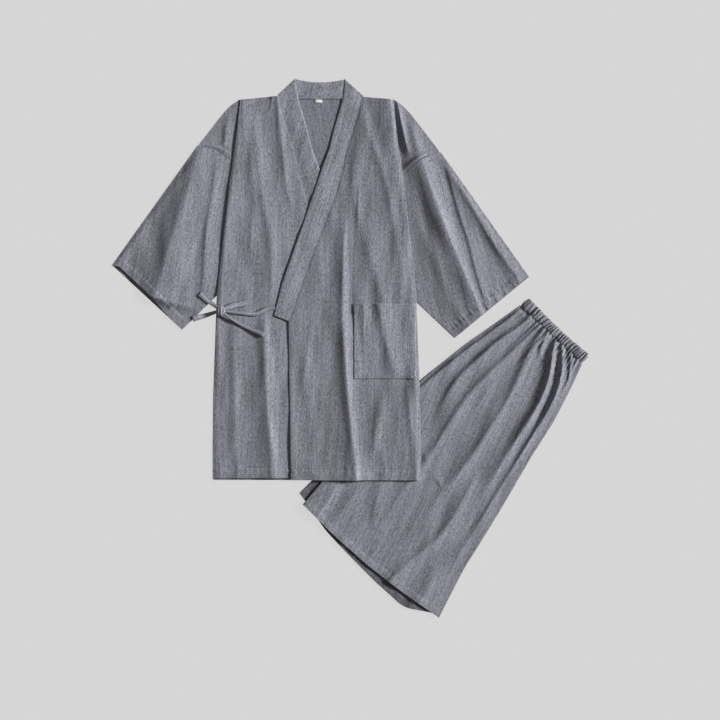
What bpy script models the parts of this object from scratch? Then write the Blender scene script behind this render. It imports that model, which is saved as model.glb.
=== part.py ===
"""Jinbei set laid flat on a table: a wrap jacket tied at its side, and its shorts.

The shorts are folded in half, leg on leg, and lie slantwise with one corner under the jacket.
The jacket lies on its back, its wearer's left front over its right one, its sleeves drawn down
and the spare width at each side tucked in as a long pleat. +X is the wearer's left, +Y is
towards the collar, +Z is up off the table, and the origin is under the middle of the set.
"""
import bpy
import numpy as np

# Cloth
CLOTH = 0.0010            # one layer of cotton
BAND = 0.0022             # a folded and sewn band: collar, waistband, ties
GAP = 0.0005              # air between two layers
SEAM = 0.0002             # half the space between two pieces at a seam
TURN = 0.0025             # reach of a soft turned edge past the last flat point
HOLLOW = 0.0014           # space inside a flattened sleeve or leg

# Jacket, from its centre line and up from its hem
JACKET_PLACE = (-0.068, -0.270)
SHOULDER = 0.779          # hem to shoulder point
NECK_RISE = 0.007         # how much higher the shoulder is beside the collar
NECK_RUN = 0.070          # width over which it rises
BACK_RISE = 0.003         # how far the back's neck seam bows up in its middle
BACK_NECK = 0.7825        # hem to the lower edge of the collar behind the neck
UNDERARM = 0.375          # hem to underarm
CUFF = {-1: ((-0.418, 0.439), (-0.277, 0.309)),
        1: ((0.434, 0.415), (0.284, 0.292))}

# Side of the body: height, folded edge, width tucked in behind it, and how far the shoulder
# cloth that comes out again from under the tuck reaches on the wearer's right and on the left.
SIDE_COLUMNS = ("height", "fold", "tuck", "right_reach", "left_reach")
SIDE = (
    (0.779, 0.1570, 0.006, 0.1590, 0.1590),
    (0.766, 0.1585, 0.012, 0.1775, 0.1775),
    (0.750, 0.1600, 0.020, 0.1925, 0.1925),
    (0.735, 0.1617, 0.027, 0.2045, 0.2045),
    (0.710, 0.1645, 0.037, 0.2235, 0.2235),
    (0.685, 0.1675, 0.049, 0.2420, 0.2428),
    (0.672, 0.1698, 0.053, 0.1990, 0.2525),
    (0.660, 0.1717, 0.057, 0.1810, 0.2220),
    (0.645, 0.1735, 0.061, 0.1700, 0.1995),
    (0.620, 0.1771, 0.070, 0.1660, 0.1750),
    (0.600, 0.1800, 0.078, 0.1670, 0.1683),
    (0.560, 0.1840, 0.095, 0.1700, 0.1700),
    (0.500, 0.1910, 0.105, 0.1780, 0.1780),
    (0.440, 0.1980, 0.100, 0.1870, 0.1870),
    (UNDERARM, 0.2045, 0.090, 0.1950, 0.1950),
    (0.310, 0.2070, 0.088, None, None),
    (0.240, 0.2095, 0.085, None, None),
    (0.170, 0.2120, 0.083, None, None),
    (0.110, 0.2125, 0.082, None, None),
    (0.055, 0.2130, 0.082, None, None),
    (0.000, 0.2130, 0.082, None, None),
)
ARM_START = {-1: 5, 1: 6}   # first row of SIDE on the armhole seam of each sleeve
SLEEVE_FOOT = {-1: 0.390, 1: UNDERARM}   # height at which each sleeve's lower edge starts

# Collar and front edges of the front that lies on top: height, outer seam, inner edge.
# Below the collar's end the seam column is the front edge itself.
COLLAR = (
    (0.786, 0.095, 0.055),
    (0.750, 0.085, 0.044),
    (0.715, 0.073, 0.034),
    (0.677, 0.060, 0.025),
    (0.633, 0.051, 0.008),
    (0.580, 0.036, -0.010),
    (0.531, 0.017, -0.026),
    (0.465, -0.008, -0.050),
    (0.402, -0.031, -0.072),
    (0.326, -0.057, -0.091),
)
FRONT_EDGE_HEM = -0.052
NECK_MIDDLE = 0.008       # the two collar sides mirror each other about this line
COLLAR_DROP = 0.012       # how far the band's cross-lines slant along its run
COLLAR_END = 0.330        # height of the middle of the band's square end
NECK_SAG = 0.006          # dip of the band's top edge behind the neck
BAND_POINTS = 4           # points across the band
COLLAR_CORNERS = ((-0.043, 0.821), (0.057, 0.820))
COLLAR_ROOTS = ((-0.079, 0.787), (0.095, 0.786))

POCKET = {"left": 0.076, "right": 0.2035, "bottom": 0.207, "top": 0.361}
POCKET_SPACE = 0.0008
LABEL = {"width": 0.014, "length": 0.006, "across": 0.005, "height": 0.777}

# Ties: a self-fabric strap and the bow at the wearer's right side
TIE_WIDTH = 0.010
KNOT = {"across": -0.195, "height": 0.347, "width": 0.017, "length": 0.019, "thick": 0.006}
COLLAR_TIE = ((-0.085, 0.354), (-0.103, 0.350), (-0.123, 0.339), (-0.146, 0.341), (-0.180, 0.346))
BOW = {
    "bow_left_tail": ((-0.207, 0.355), (-0.224, 0.368), (-0.238, 0.382)),
    "bow_right_tail": ((-0.183, 0.353), (-0.165, 0.359), (-0.143, 0.363)),
    "bow_left_loop": ((-0.207, 0.343), (-0.228, 0.337), (-0.251, 0.331)),
    "bow_right_loop": ((-0.185, 0.339), (-0.160, 0.321), (-0.134, 0.309), (-0.109, 0.299)),
}
LOOP_SPACE = 0.0022       # between the two legs of a loop

# Shorts: from the middle of the waist. A row of a leg is how far down and how far across its
# viewer's left edge is, then the same for its right edge.
SHORTS_PLACE = (0.4228, 0.0354)
SHORTS_TURN = np.radians(38.8)
UPPER_LEG = (
    (0.0065, -0.0890, 0.0175, 0.0810),
    (0.060, -0.104, 0.061, 0.0925),
    (0.142, -0.128, 0.143, 0.1100),
    (0.240, -0.149, 0.236, 0.1205),
    (0.335, -0.161, 0.330, 0.135),
    (0.425, -0.171, 0.415, 0.1465),
    (0.510, -0.178, 0.500, 0.1565),
    (0.602, -0.180, 0.608, 0.179),
)
LOWER_LEG = (
    (0.0065, -0.0880, 0.0175, 0.0800),
    (0.060, -0.103, 0.061, 0.089),
    (0.142, -0.127, 0.143, 0.104),
    (0.240, -0.150, 0.236, 0.117),
    (0.335, -0.165, 0.330, 0.132),
    (0.425, -0.179, 0.415, 0.145),
    (0.510, -0.192, 0.500, 0.155),
    (0.588, -0.200, 0.604, 0.173),
)
# How far each hem sags past a straight line: share of the way across, sag
UPPER_HEM = ((0, 0), (0.25, 0.0078), (0.50, 0.0110), (0.75, 0.0078), (1, 0))
LOWER_HEM = ((0, 0), (0.08, 0.0085), (0.24, 0.0230), (0.42, 0.0294), (0.62, 0.0347), (0.72, 0.0350),
             (0.83, 0.0360), (0.95, 0.0110), (1, 0))
WAIST_TOP = (-0.0170, -0.0850, -0.0040, 0.0840)
WAIST_SEAM = (0.0060, -0.0890, 0.0170, 0.0810)
WAIST_BOW = 0.004
HEM_START = 0.40                 # how far down the leg its sections begin to bow
PUCKERS = 20
PUCKER_DEPTH = 0.0008

# Largest folds: start across, start height, end across, end height, half width, height
RIGHT_FRONT_FOLDS = (
    (-0.066, 0.700, -0.038, 0.520, 0.018, 0.0030),
    (-0.072, 0.380, -0.080, -0.040, 0.014, 0.0045),
    (-0.150, 0.560, -0.172, 0.180, 0.026, 0.0030),
)
LEFT_FRONT_FOLDS = (
    (0.062, 0.520, 0.066, 0.260, 0.014, 0.0050),
    (0.066, 0.300, 0.104, -0.050, 0.014, 0.0050),
    (0.102, 0.770, 0.168, 0.600, 0.014, 0.0030),
    (0.145, 0.460, 0.118, -0.040, 0.024, 0.0030),
)
SLEEVE_FOLDS = {
    -1: ((-0.226, 0.670, -0.310, 0.380, 0.026, 0.0022),),
    1: ((0.232, 0.680, 0.350, 0.320, 0.026, 0.0024),),
}
UPPER_LEG_FOLDS = (
    (-0.070, 0.010, -0.098, 0.260, 0.012, 0.0022),
    (-0.040, 0.012, -0.040, 0.340, 0.014, 0.0024),
    (-0.008, 0.014, 0.006, 0.300, 0.011, 0.0022),
    (0.026, 0.016, 0.044, 0.460, 0.014, 0.0024),
    (0.058, 0.016, 0.088, 0.330, 0.011, 0.0022),
    (-0.130, 0.460, -0.160, 0.640, 0.020, 0.0022),
)

# Points of the grids
FACE_POINTS = 12          # across a front
TUCK_POINTS = 4           # across each of the two layers behind it
BACK_POINTS = 15
NECK_POINTS = 7           # along the collar behind the neck
SLEEVE_RINGS = 9
LEG_POINTS = 13
POCKET_POINTS = 8
TIE_POINTS = 10
BOW_POINTS = 6
BEND_ANGLES = np.radians((60, 0, -60))   # the points of a turned edge, from its top leg down
STRIP_TURN = 0.0040       # reach of a strip past the point where it turns back
KNOT_POINTS = 12
KNOT_LEVELS = ((0.0, 0.80), (0.35, 1.0), (0.75, 0.88), (1.0, 0.45))   # share of height, of width
NET = 0.0020              # spacing of the net that records what already lies on the table
CLOTH_COLOUR = (0.205, 0.207, 0.237)
BAND_COLOUR = (0.232, 0.233, 0.266)
SHADE_COLOUR = (0.165, 0.167, 0.192)
LABEL_COLOUR = (0.78, 0.78, 0.76)
CLOTH_ROUGHNESS = 0.92
LABEL_ROUGHNESS = 0.70


def clear_scene():
    for thing in list(bpy.data.objects):
        bpy.data.objects.remove(thing, do_unlink=True)


def material(name, colour, roughness):
    made = bpy.data.materials.new(name)
    made.use_nodes = True
    shader = made.node_tree.nodes["Principled BSDF"]
    shader.inputs["Base Color"].default_value = (*colour, 1.0)
    shader.inputs["Roughness"].default_value = roughness
    shader.inputs["Metallic"].default_value = 0.0
    made.diffuse_color = (*colour, 1.0)
    return made


def in_jacket(across, height):
    """World x and y of a place on the jacket."""
    return np.asarray(across) + JACKET_PLACE[0], np.asarray(height) + JACKET_PLACE[1]


def in_shorts(down, across):
    """World x and y of a place on the shorts, which are turned on the table."""
    c, s = np.cos(SHORTS_TURN), np.sin(SHORTS_TURN)
    x = SHORTS_PLACE[0] - s * np.asarray(down) + c * np.asarray(across)
    y = SHORTS_PLACE[1] - c * np.asarray(down) - s * np.asarray(across)
    return x, y


def folds(across, height, table):
    """Rise of soft folds: a bell across each one's line, fading at both of its ends."""
    total = np.zeros(np.shape(across))
    for x0, y0, x1, y1, half_width, rise in table:
        run = np.array((x1 - x0, y1 - y0))
        length = np.hypot(*run)
        run = run / length
        along = ((across - x0) * run[0] + (height - y0) * run[1]) / length
        aside = (across - x0) * run[1] - (height - y0) * run[0]
        fade = np.clip(6.0 * along, 0, 1) * np.clip(6.0 * (1.0 - along), 0, 1)
        total = np.maximum(total, rise * fade * np.exp(-(aside / half_width) ** 2))
    return total


def cell_samples(grid, steps):
    """Points spread evenly over every cell of a grid: rows, columns, steps, steps."""
    t = np.linspace(0.0, 1.0, steps)
    u, v = t[:, None], t[None, :]
    a, b = grid[:-1, :-1, None, None], grid[:-1, 1:, None, None]
    c, d = grid[1:, :-1, None, None], grid[1:, 1:, None, None]
    return a * (1 - u) * (1 - v) + b * (1 - u) * v + c * u * (1 - v) + d * u * v


class Table:
    """The heights of what has been laid so far, on a square net."""

    HALF = 0.62

    def __init__(self):
        self.size = int(round(2 * self.HALF / NET)) + 1
        self.top = np.zeros((self.size, self.size))

    def places(self, x, y):
        column = np.rint((x + self.HALF) / NET).astype(int)
        row = np.rint((y + self.HALF) / NET).astype(int)
        return np.clip(row, 0, self.size - 1), np.clip(column, 0, self.size - 1)

    @staticmethod
    def steps(x, y):
        reach = max(np.abs(np.diff(x, axis=0)).max(), np.abs(np.diff(x, axis=1)).max(),
                    np.abs(np.diff(y, axis=0)).max(), np.abs(np.diff(y, axis=1)).max())
        return int(np.ceil(1.5 * reach / NET)) + 2

    def add(self, x, y, z):
        """Record a laid surface; a twisted cell counts with its higher diagonal."""
        steps = self.steps(x, y)
        twist = np.abs(z[:-1, :-1] + z[1:, 1:] - z[:-1, 1:] - z[1:, :-1]) / 4
        height = cell_samples(z, steps) + twist[:, :, None, None]
        place = self.places(cell_samples(x, steps), cell_samples(y, steps))
        np.maximum.at(self.top, place, height)

    def under(self, x, y):
        """For every point of a grid, the highest thing under the cells round it."""
        spread = self.top.copy()
        for axis in (0, 1):
            spread = np.maximum(spread, np.maximum(np.roll(spread, 1, axis), np.roll(spread, -1, axis)))
        steps = self.steps(x, y)
        cells = spread[self.places(cell_samples(x, steps), cell_samples(y, steps))].max(axis=(2, 3))
        padded = np.pad(cells, 1)
        around = (padded[:-1, :-1], padded[:-1, 1:], padded[1:, :-1], padded[1:, 1:])
        return np.maximum.reduce(around)

    def lay(self, x, y, ease=3):
        """Underside of cloth laid over the heap: just clear of it, and eased over its steps."""
        least = self.under(x, y)
        least = np.where(least > 0, least + GAP, 0.0)
        z = least
        for _ in range(ease):
            p = np.pad(z, 1, mode="edge")
            mean = (p[:-2, 1:-1] + p[2:, 1:-1] + p[1:-1, :-2] + p[1:-1, 2:]) / 4
            z = np.maximum(least, mean)
        return z


def solid(name, face, back, finish, ring=False, keep=None):
    """Closed wall between two grids of points; ring joins the last column to the first.

    keep marks the cells that exist, so a sheet may be narrower in some of its rows.
    """
    rows, columns = face.shape[:2]
    cell_columns = columns if ring else columns - 1
    if keep is None:
        keep = np.ones((rows - 1, cell_columns), bool)
    count = rows * columns
    faces, edges = [], {}
    for i, j in zip(*np.nonzero(keep)):
        k = (j + 1) % columns
        corners = [i * columns + j, i * columns + k, (i + 1) * columns + k, (i + 1) * columns + j]
        faces.append(corners)
        faces.append([c + count for c in reversed(corners)])
        for a, b in zip(corners, corners[1:] + corners[:1]):
            if (b, a) in edges:
                del edges[(b, a)]
            else:
                edges[(a, b)] = True
    for a, b in edges:
        faces.append([b, a, a + count, b + count])
    points = np.concatenate((face.reshape(-1, 3), back.reshape(-1, 3)))
    used = np.unique(np.concatenate([np.array(f) for f in faces]))
    renumber = np.full(len(points), -1)
    renumber[used] = np.arange(len(used))
    points = points[used]
    faces = [[int(renumber[v]) for v in f] for f in faces]
    volume = 0.0
    for f in faces:
        for m in range(1, len(f) - 1):
            volume += np.dot(points[f[0]], np.cross(points[f[m]], points[f[m + 1]]))
    if volume < 0:
        faces = [f[::-1] for f in faces]
    mesh = bpy.data.meshes.new(name)
    mesh.from_pydata(points.tolist(), [], faces)
    mesh.validate()
    made = bpy.data.objects.new(name, mesh)
    mesh.materials.append(finish)
    bpy.context.scene.collection.objects.link(made)
    return made


def level_normals(points, way):
    """The same upward or downward normal for every point of a grid."""
    return np.tile(np.array((0.0, 0.0, float(way))), points.shape[:2] + (1,))


def panel(name, x, y, z, thick, finish):
    """A flat-laid sheet: its underside at z and its face a wall's thickness above."""
    under = np.stack((x, y, z), axis=-1)
    face = np.stack((x, y, z + thick), axis=-1)
    return solid(name, face, under, finish)


def flat_tube(name, x, y, z, rise, thick, space, finish):
    """A flattened tube, open at both ends, through rings that run across it.

    Each ring goes along the underside and back along the top, with one round point at each
    edge. rise lifts the top, and the hollow with it.
    """
    mean_step = np.hypot(x[:, 1] - x[:, 0], y[:, 1] - y[:, 0])[:, None]
    ax, ay = (x[:, :1] - x[:, 1:2]) / mean_step, (y[:, :1] - y[:, 1:2]) / mean_step
    last_step = np.hypot(x[:, -1] - x[:, -2], y[:, -1] - y[:, -2])[:, None]
    bx, by = (x[:, -1:] - x[:, -2:-1]) / last_step, (y[:, -1:] - y[:, -2:-1]) / last_step
    top = z + 2 * thick + space + rise
    half = (top - z) / 2
    outer_left = np.stack((x[:, :1] + ax * TURN, y[:, :1] + ay * TURN, z[:, :1] + half[:, :1]), -1)
    outer_right = np.stack((x[:, -1:] + bx * TURN, y[:, -1:] + by * TURN, z[:, -1:] + half[:, -1:]), -1)
    inner_reach = TURN - thick
    inner_left = np.stack((x[:, :1] + ax * inner_reach, y[:, :1] + ay * inner_reach,
                           z[:, :1] + half[:, :1]), -1)
    inner_right = np.stack((x[:, -1:] + bx * inner_reach, y[:, -1:] + by * inner_reach,
                            z[:, -1:] + half[:, -1:]), -1)
    outer = np.concatenate((np.stack((x, y, z), -1), outer_right,
                            np.stack((x, y, top), -1)[:, ::-1], outer_left), axis=1)
    inner = np.concatenate((np.stack((x, y, z + thick), -1), inner_right,
                            np.stack((x, y, top - thick), -1)[:, ::-1], inner_left), axis=1)
    made = solid(name, outer, inner, finish, ring=True)
    return made, top


def leg_grid(table, hem, across_count):
    """World x and y of a leg's sections; the hem's sag fades out up the leg."""
    rows = np.array(table)
    f = np.linspace(0, 1, across_count)[None, :]
    down = rows[:, 0:1] * (1 - f) + rows[:, 2:3] * f
    across = rows[:, 1:2] * (1 - f) + rows[:, 3:4] * f
    share = np.clip((rows[:, 0:1] - HEM_START) / (rows[-1, 0] - HEM_START), 0, 1) ** 2
    down = down + share * np.interp(f, *np.array(hem).T)
    return down, across


def build_shorts(table, finishes):
    """Two flattened legs, one on the other, and the gathered waistband that holds both."""
    for name, rows, hem, pleats in (("shorts_left_leg", LOWER_LEG, LOWER_HEM, ()),
                                    ("shorts_right_leg", UPPER_LEG, UPPER_HEM, UPPER_LEG_FOLDS)):
        down, across = leg_grid(rows, hem, LEG_POINTS)
        x, y = in_shorts(down, across)
        z = table.lay(x, y, ease=0)
        rise = folds(across, down, pleats)
        leg, top = flat_tube(name, x, y, z, rise, CLOTH, HOLLOW, finishes["cloth"])
        table.add(x, y, top)
    build_waistband(table, finishes["band"])


def build_waistband(table, finish):
    """A turned-over elastic band: a flat ring whose top and underside wave with its gathers."""
    count = 2 * PUCKERS + 1
    f = np.linspace(0, 1, count)[None, :]
    rows = np.array((WAIST_TOP, WAIST_SEAM))
    down = rows[:, 0:1] * (1 - f) + rows[:, 2:3] * f - SEAM + WAIST_BOW * np.sin(np.pi * f)
    down[1] -= WAIST_BOW * np.sin(np.pi * f[0]) + SEAM
    across = rows[:, 1:2] * (1 - f) + rows[:, 3:4] * f
    x, y = in_shorts(down, across)
    legs = 2 * (2 * CLOTH + HOLLOW) + GAP
    wave = PUCKER_DEPTH * (np.arange(count) % 2)[None, :] * np.ones((2, 1))
    rise = legs - 2 * BAND - HOLLOW + wave
    flat = np.zeros_like(x)
    made, top = flat_tube("shorts_waistband", x, y, flat, rise, BAND, HOLLOW, finish)
    table.add(x, y, top)


def side_rows():
    rows = [dict(zip(SIDE_COLUMNS, row)) for row in SIDE]
    height = np.array([r["height"] for r in rows])
    fold = np.array([r["fold"] for r in rows])
    tuck = np.array([r["tuck"] for r in rows])
    arm = {side: np.array([r[key] for r in rows if r[key] is not None])
           for side, key in ((-1, "right_reach"), (1, "left_reach"))}
    return height, fold, tuck, arm


def shoulder_line(across):
    """Height of the top row: the shoulder rises a little from its point towards the collar."""
    return SHOULDER + NECK_RISE * np.clip((SIDE[0][1] - np.abs(across)) / NECK_RUN, 0, 1)


def build_back(table, finish):
    """The back lies on the table, out to the armhole seams and just inside the folded sides."""
    height, fold, _, arm = side_rows()
    f = np.linspace(-1, 1, BACK_POINTS)[None, :]
    across = (fold - TURN)[:, None] * f
    for side in (-1, 1):
        half = (arm[side] - SEAM)[:, None] * f
        across[:len(half)] = np.where(side * f > 0, half, across[:len(half)])
    up = height[:, None] + 0 * f
    up[0] = np.minimum(shoulder_line(across[0]), SHOULDER + BACK_RISE * (1 - np.abs(f[0])))
    x, y = in_jacket(across, up)
    z = table.lay(x, y)
    made = panel("jacket_back", x, y, z, CLOTH, finish)
    table.add(x, y, z + CLOTH)
    return made


def build_sleeve(table, side, name, finish):
    """A flattened tube from the armhole seam to the cuff, drawn down beside the body."""
    height, _, _, arm = side_rows()
    seam_x = side * (arm[side][ARM_START[side]:] + SEAM)
    seam_y = np.maximum(height[ARM_START[side]:len(arm[side])], SLEEVE_FOOT[side])
    gone = np.concatenate(([0], np.cumsum(np.hypot(np.diff(seam_x), np.diff(seam_y)))))
    share = gone / gone[-1]
    (x0, y0), (x1, y1) = CUFF[side]
    cuff_x, cuff_y = x0 + (x1 - x0) * share, y0 + (y1 - y0) * share
    t = np.linspace(0, 1, SLEEVE_RINGS)[:, None]
    across = seam_x * (1 - t) + cuff_x * t
    up = seam_y * (1 - t) + cuff_y * t
    x, y = in_jacket(across, up)
    rise = folds(across, up, SLEEVE_FOLDS[side])
    flat = np.zeros_like(x)
    made, top = flat_tube(name, x, y, flat, rise, CLOTH, HOLLOW, finish)
    table.add(x, y, top)
    return made


def inner_edge(height, mirrored):
    """Across of a front's inner edge at each height: the collar seam, then the front edge."""
    rows = np.array(COLLAR)[::-1]
    known_y = np.concatenate(([0.0], rows[:, 0]))
    known_x = np.concatenate(([FRONT_EDGE_HEM], rows[:, 1]))
    across = np.interp(height, known_y, known_x)
    return 2 * NECK_MIDDLE - across if mirrored else across


def build_front(table, side, name, pleats, finish):
    """One front: the face, its folded side edge, the tuck behind it and the shoulder cloth.

    Every row runs from the collar seam or front edge out to the fold, turns under, goes back
    in by the tuck, turns again and comes out to the armhole seam. Below the underarm a row
    ends with the tuck.
    """
    height, fold, tuck, arms = side_rows()
    arm = arms[side]
    rows = len(height)
    up = height[:, None]
    f = np.linspace(0, 1, TUCK_POINTS)[None, :]
    inside = (fold - tuck)[:, None]
    arm_edge = np.concatenate((arm - SEAM, (fold - tuck)[len(arm):] + 2 * TURN))[:, None]

    out = (inside + TURN) * (1 - f) + arm_edge * f
    x, y = in_jacket(side * out, up + 0 * f)
    lower = slice(0, len(arm))
    z = np.zeros_like(x)
    z[lower] = table.lay(x[lower], y[lower], ease=0)
    table.add(x[lower], y[lower], z[lower] + CLOTH)
    third = (side * out, z + CLOTH / 2)

    back = (fold - TURN)[:, None] * (1 - f) + (inside + TURN) * f
    x, y = in_jacket(side * back, up + 0 * f)
    z = table.lay(x, y, ease=0)
    table.add(x, y, z + CLOTH)
    second = (side * back, z + CLOTH / 2)
    third[1][len(arm):] = (z + CLOTH / 2)[len(arm):, -1:] - CLOTH - GAP

    edge = inner_edge(np.minimum(height, COLLAR[0][0]), side < 0)[:, None]
    f = np.linspace(0, 1, FACE_POINTS)[None, :]
    out = (edge + side * SEAM) * (1 - f) + side * (fold - TURN)[:, None] * f
    face_up = up + 0 * f
    face_up[0] = shoulder_line(out[0])
    x, y = in_jacket(out, face_up)
    z = table.lay(x, y) + folds(out, face_up, pleats)
    table.add(x, y, z + CLOTH)
    first = (out, z + CLOTH / 2)

    c, s = np.cos(BEND_ANGLES)[None, :], np.sin(BEND_ANGLES)[None, :]

    def bend(centre, level_a, level_b, way):
        mid, radius = (level_a + level_b) / 2, (level_a - level_b) / 2
        return centre + way * TURN * c, mid[:, None] + radius[:, None] * s

    fold_bend = bend(side * (fold - TURN)[:, None], first[1][:, -1], second[1][:, 0], side)
    tuck_bend = bend(side * (inside + TURN), second[1][:, -1], third[1][:, 0], -side)
    across = np.concatenate((first[0], fold_bend[0], second[0], tuck_bend[0], third[0]), axis=1)
    level = np.concatenate((first[1], fold_bend[1], second[1], tuck_bend[1], third[1]), axis=1)
    ups = np.repeat(up, across.shape[1], axis=1)
    ups[:, :face_up.shape[1]] = face_up

    flat = np.zeros(TUCK_POINTS)
    lean = np.concatenate((np.zeros(FACE_POINTS), side * c[0], flat, side * c[0], flat))
    lift = np.concatenate((np.ones(FACE_POINTS), s[0], flat - 1, -s[0], flat + 1))
    x, y = in_jacket(across, ups)
    middle = np.stack((x, y, level), axis=-1)
    normal = np.stack((lean + 0 * x, 0 * x, lift + 0 * x), axis=-1)
    keep = np.ones((rows - 1, across.shape[1] - 1), bool)
    keep[len(arm) - 1:, FACE_POINTS + len(BEND_ANGLES) + TUCK_POINTS - 1:] = False
    return solid(name, middle + normal * CLOTH / 2, middle - normal * CLOTH / 2, finish, keep=keep)


def collar_side(mirrored):
    """Across and height of one side of the band, from the shoulder down to its end."""
    rows = np.array(COLLAR)
    f = np.linspace(0, 1, BAND_POINTS)[None, :]
    seam, edge = rows[:, 1:2] - 2 * SEAM, rows[:, 2:3]
    corner, root = COLLAR_CORNERS[1], COLLAR_ROOTS[1]
    if mirrored:
        seam, edge = 2 * NECK_MIDDLE - seam, 2 * NECK_MIDDLE - edge
        corner, root = COLLAR_CORNERS[0], COLLAR_ROOTS[0]
    across = np.concatenate((root[0] * (1 - f) + corner[0] * f, seam * (1 - f) + edge * f))
    up = np.concatenate((root[1] * (1 - f) + corner[1] * f, rows[:, :1] - COLLAR_DROP + 0 * f))
    up[-1] = COLLAR_END + COLLAR_DROP * (f[0] - 0.5)
    return across, up


def lay_band(table, across, up, ease):
    """Lay one stretch of the collar band and return the points of its middle surface."""
    x, y = in_jacket(across, up)
    z = table.lay(x, y, ease)
    table.add(x, y, z + BAND)
    return np.stack((x, y, z + BAND / 2), -1)


def lay_back_neck(table):
    """The band across the back neck, between its two shoulder folds; its top edge sags."""
    f = np.linspace(0, 1, BAND_POINTS)[None, :]
    g = np.linspace(0, 1, NECK_POINTS)[:, None]
    (left_x, left_y), (right_x, right_y) = COLLAR_ROOTS
    (corner_x, corner_y), (far_x, far_y) = COLLAR_CORNERS
    low_x = left_x * (1 - g) + right_x * g
    low_y = np.full_like(g, BACK_NECK)
    low_y[0], low_y[-1] = left_y, right_y
    top_x = corner_x * (1 - g) + far_x * g
    top_y = corner_y * (1 - g) + far_y * g - NECK_SAG * np.sin(np.pi * g)
    return lay_band(table, low_x * (1 - f) + top_x * f, low_y * (1 - f) + top_y * f, ease=0)


def edge_bend(upper, lower, outward):
    """Three rows, and their normals, that carry a strip round its end to the layer below."""
    middle, half = (upper + lower) / 2, (upper[:, 2] - lower[:, 2]) / 2
    rows, normals = [], []
    for angle in BEND_ANGLES:
        row = middle.copy()
        row[:, :2] += outward * STRIP_TURN * np.cos(angle)
        row[:, 2] += half * np.sin(angle)
        rows.append(row)
        lean = (*(outward * np.cos(angle)), np.sin(angle))
        normals.append(np.tile(lean, (len(upper), 1)))
    return np.array(rows), np.array(normals)


def build_collar(right_side, neck, left_side, finish):
    """The collar band: up one front, folded over at each shoulder, across the back neck."""
    diagonal = np.array((-1.0, 1.0)) / np.sqrt(2.0)
    bend_a, normal_a = edge_bend(right_side[0], neck[0], diagonal)
    bend_b, normal_b = edge_bend(left_side[0], neck[-1], diagonal * (-1, 1))
    middle = np.concatenate((right_side[::-1], bend_a, neck, bend_b[::-1], left_side))
    normal = np.concatenate((level_normals(right_side, 1), normal_a, level_normals(neck, -1),
                             normal_b[::-1], level_normals(left_side, 1)))
    return solid("collar", middle + normal * BAND / 2, middle - normal * BAND / 2, finish)


def build_pocket(table, finish):
    """A patch pocket: one sheet whose points are those of the front below it, moved out."""
    f = np.linspace(0, 1, POCKET_POINTS)[None, :]
    g = np.linspace(0, 1, POCKET_POINTS)[:, None]
    across = POCKET["left"] * (1 - f) + POCKET["right"] * f + 0 * g
    up = POCKET["bottom"] * (1 - g) + POCKET["top"] * g + 0 * f
    x, y = in_jacket(across, up)
    z = table.lay(x, y, ease=2) + POCKET_SPACE * np.sin(np.pi * f) * np.sin(np.pi * g)
    made = panel("pocket", x, y, z, CLOTH, finish)
    table.add(x, y, z + CLOTH)
    return made


def build_label(table, finish):
    """A small bare tab under the back neck seam."""
    f = np.array((-0.5, 0.0, 0.5))[None, :]
    g = np.array((0.0, 1.0))[:, None]
    across = LABEL["across"] + LABEL["width"] * f + 0 * g
    up = LABEL["height"] - LABEL["length"] * g + 0 * f
    x, y = in_jacket(across, up)
    z = table.lay(x, y, ease=0)
    made = panel("neck_label", x, y, z, CLOTH, finish)
    table.add(x, y, z + CLOTH)
    return made


def strap_grid(route, steps):
    """World x and y of a strap of even width along a short route, eased between its points."""
    route = np.array(route)
    t = np.linspace(0, len(route) - 1, steps)
    k = np.arange(len(route))
    centre = np.stack((np.interp(t, k, route[:, 0]), np.interp(t, k, route[:, 1])), -1)
    centre[1:-1] = (centre[:-2] + 2 * centre[1:-1] + centre[2:]) / 4
    run = np.gradient(centre, axis=0)
    run /= np.linalg.norm(run, axis=1, keepdims=True)
    aside = np.stack((-run[:, 1], run[:, 0]), -1)
    f = np.linspace(-0.5, 0.5, 3)[None, :, None]
    points = centre[:, None] + aside[:, None] * f * TIE_WIDTH
    return in_jacket(points[..., 0], points[..., 1])


def build_bow(table, finish):
    """The collar's tie, the two tails, the two loops and the knot that gathers them."""
    x, y = strap_grid(COLLAR_TIE, TIE_POINTS)
    z = table.lay(x, y, ease=1)
    panel("collar_tie", x, y, z, BAND, finish)
    table.add(x, y, z + BAND)
    for name, route in BOW.items():
        x, y = strap_grid(route, BOW_POINTS)
        if name.endswith("tail"):
            z = table.lay(x, y, ease=1)
            panel(name, x, y, z, BAND, finish)
            table.add(x, y, z + BAND)
        else:
            build_loop(table, name, x, y, finish)
    build_knot(table, finish)


def build_loop(table, name, x, y, finish):
    """A loop lies nearly flat: the strap goes out on top, turns at its end and comes back."""
    z = table.lay(x, y, ease=1)
    low = z + CLOTH / 2
    high = low + CLOTH + LOOP_SPACE * np.linspace(0.3, 1, len(x))[:, None]
    run = np.array((x[-1, 1] - x[-2, 1], y[-1, 1] - y[-2, 1]))
    run /= np.linalg.norm(run)
    top = np.stack((x, y, high), -1)
    under = np.stack((x, y, low), -1)[::-1]
    tip, tip_normal = edge_bend(top[-1], under[0], run)
    middle = np.concatenate((top, tip, under))
    normal = np.concatenate((level_normals(top, 1), tip_normal, level_normals(under, -1)))
    table.add(x, y, high + CLOTH / 2)
    return solid(name, middle + normal * CLOTH / 2, middle - normal * CLOTH / 2, finish)


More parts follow.
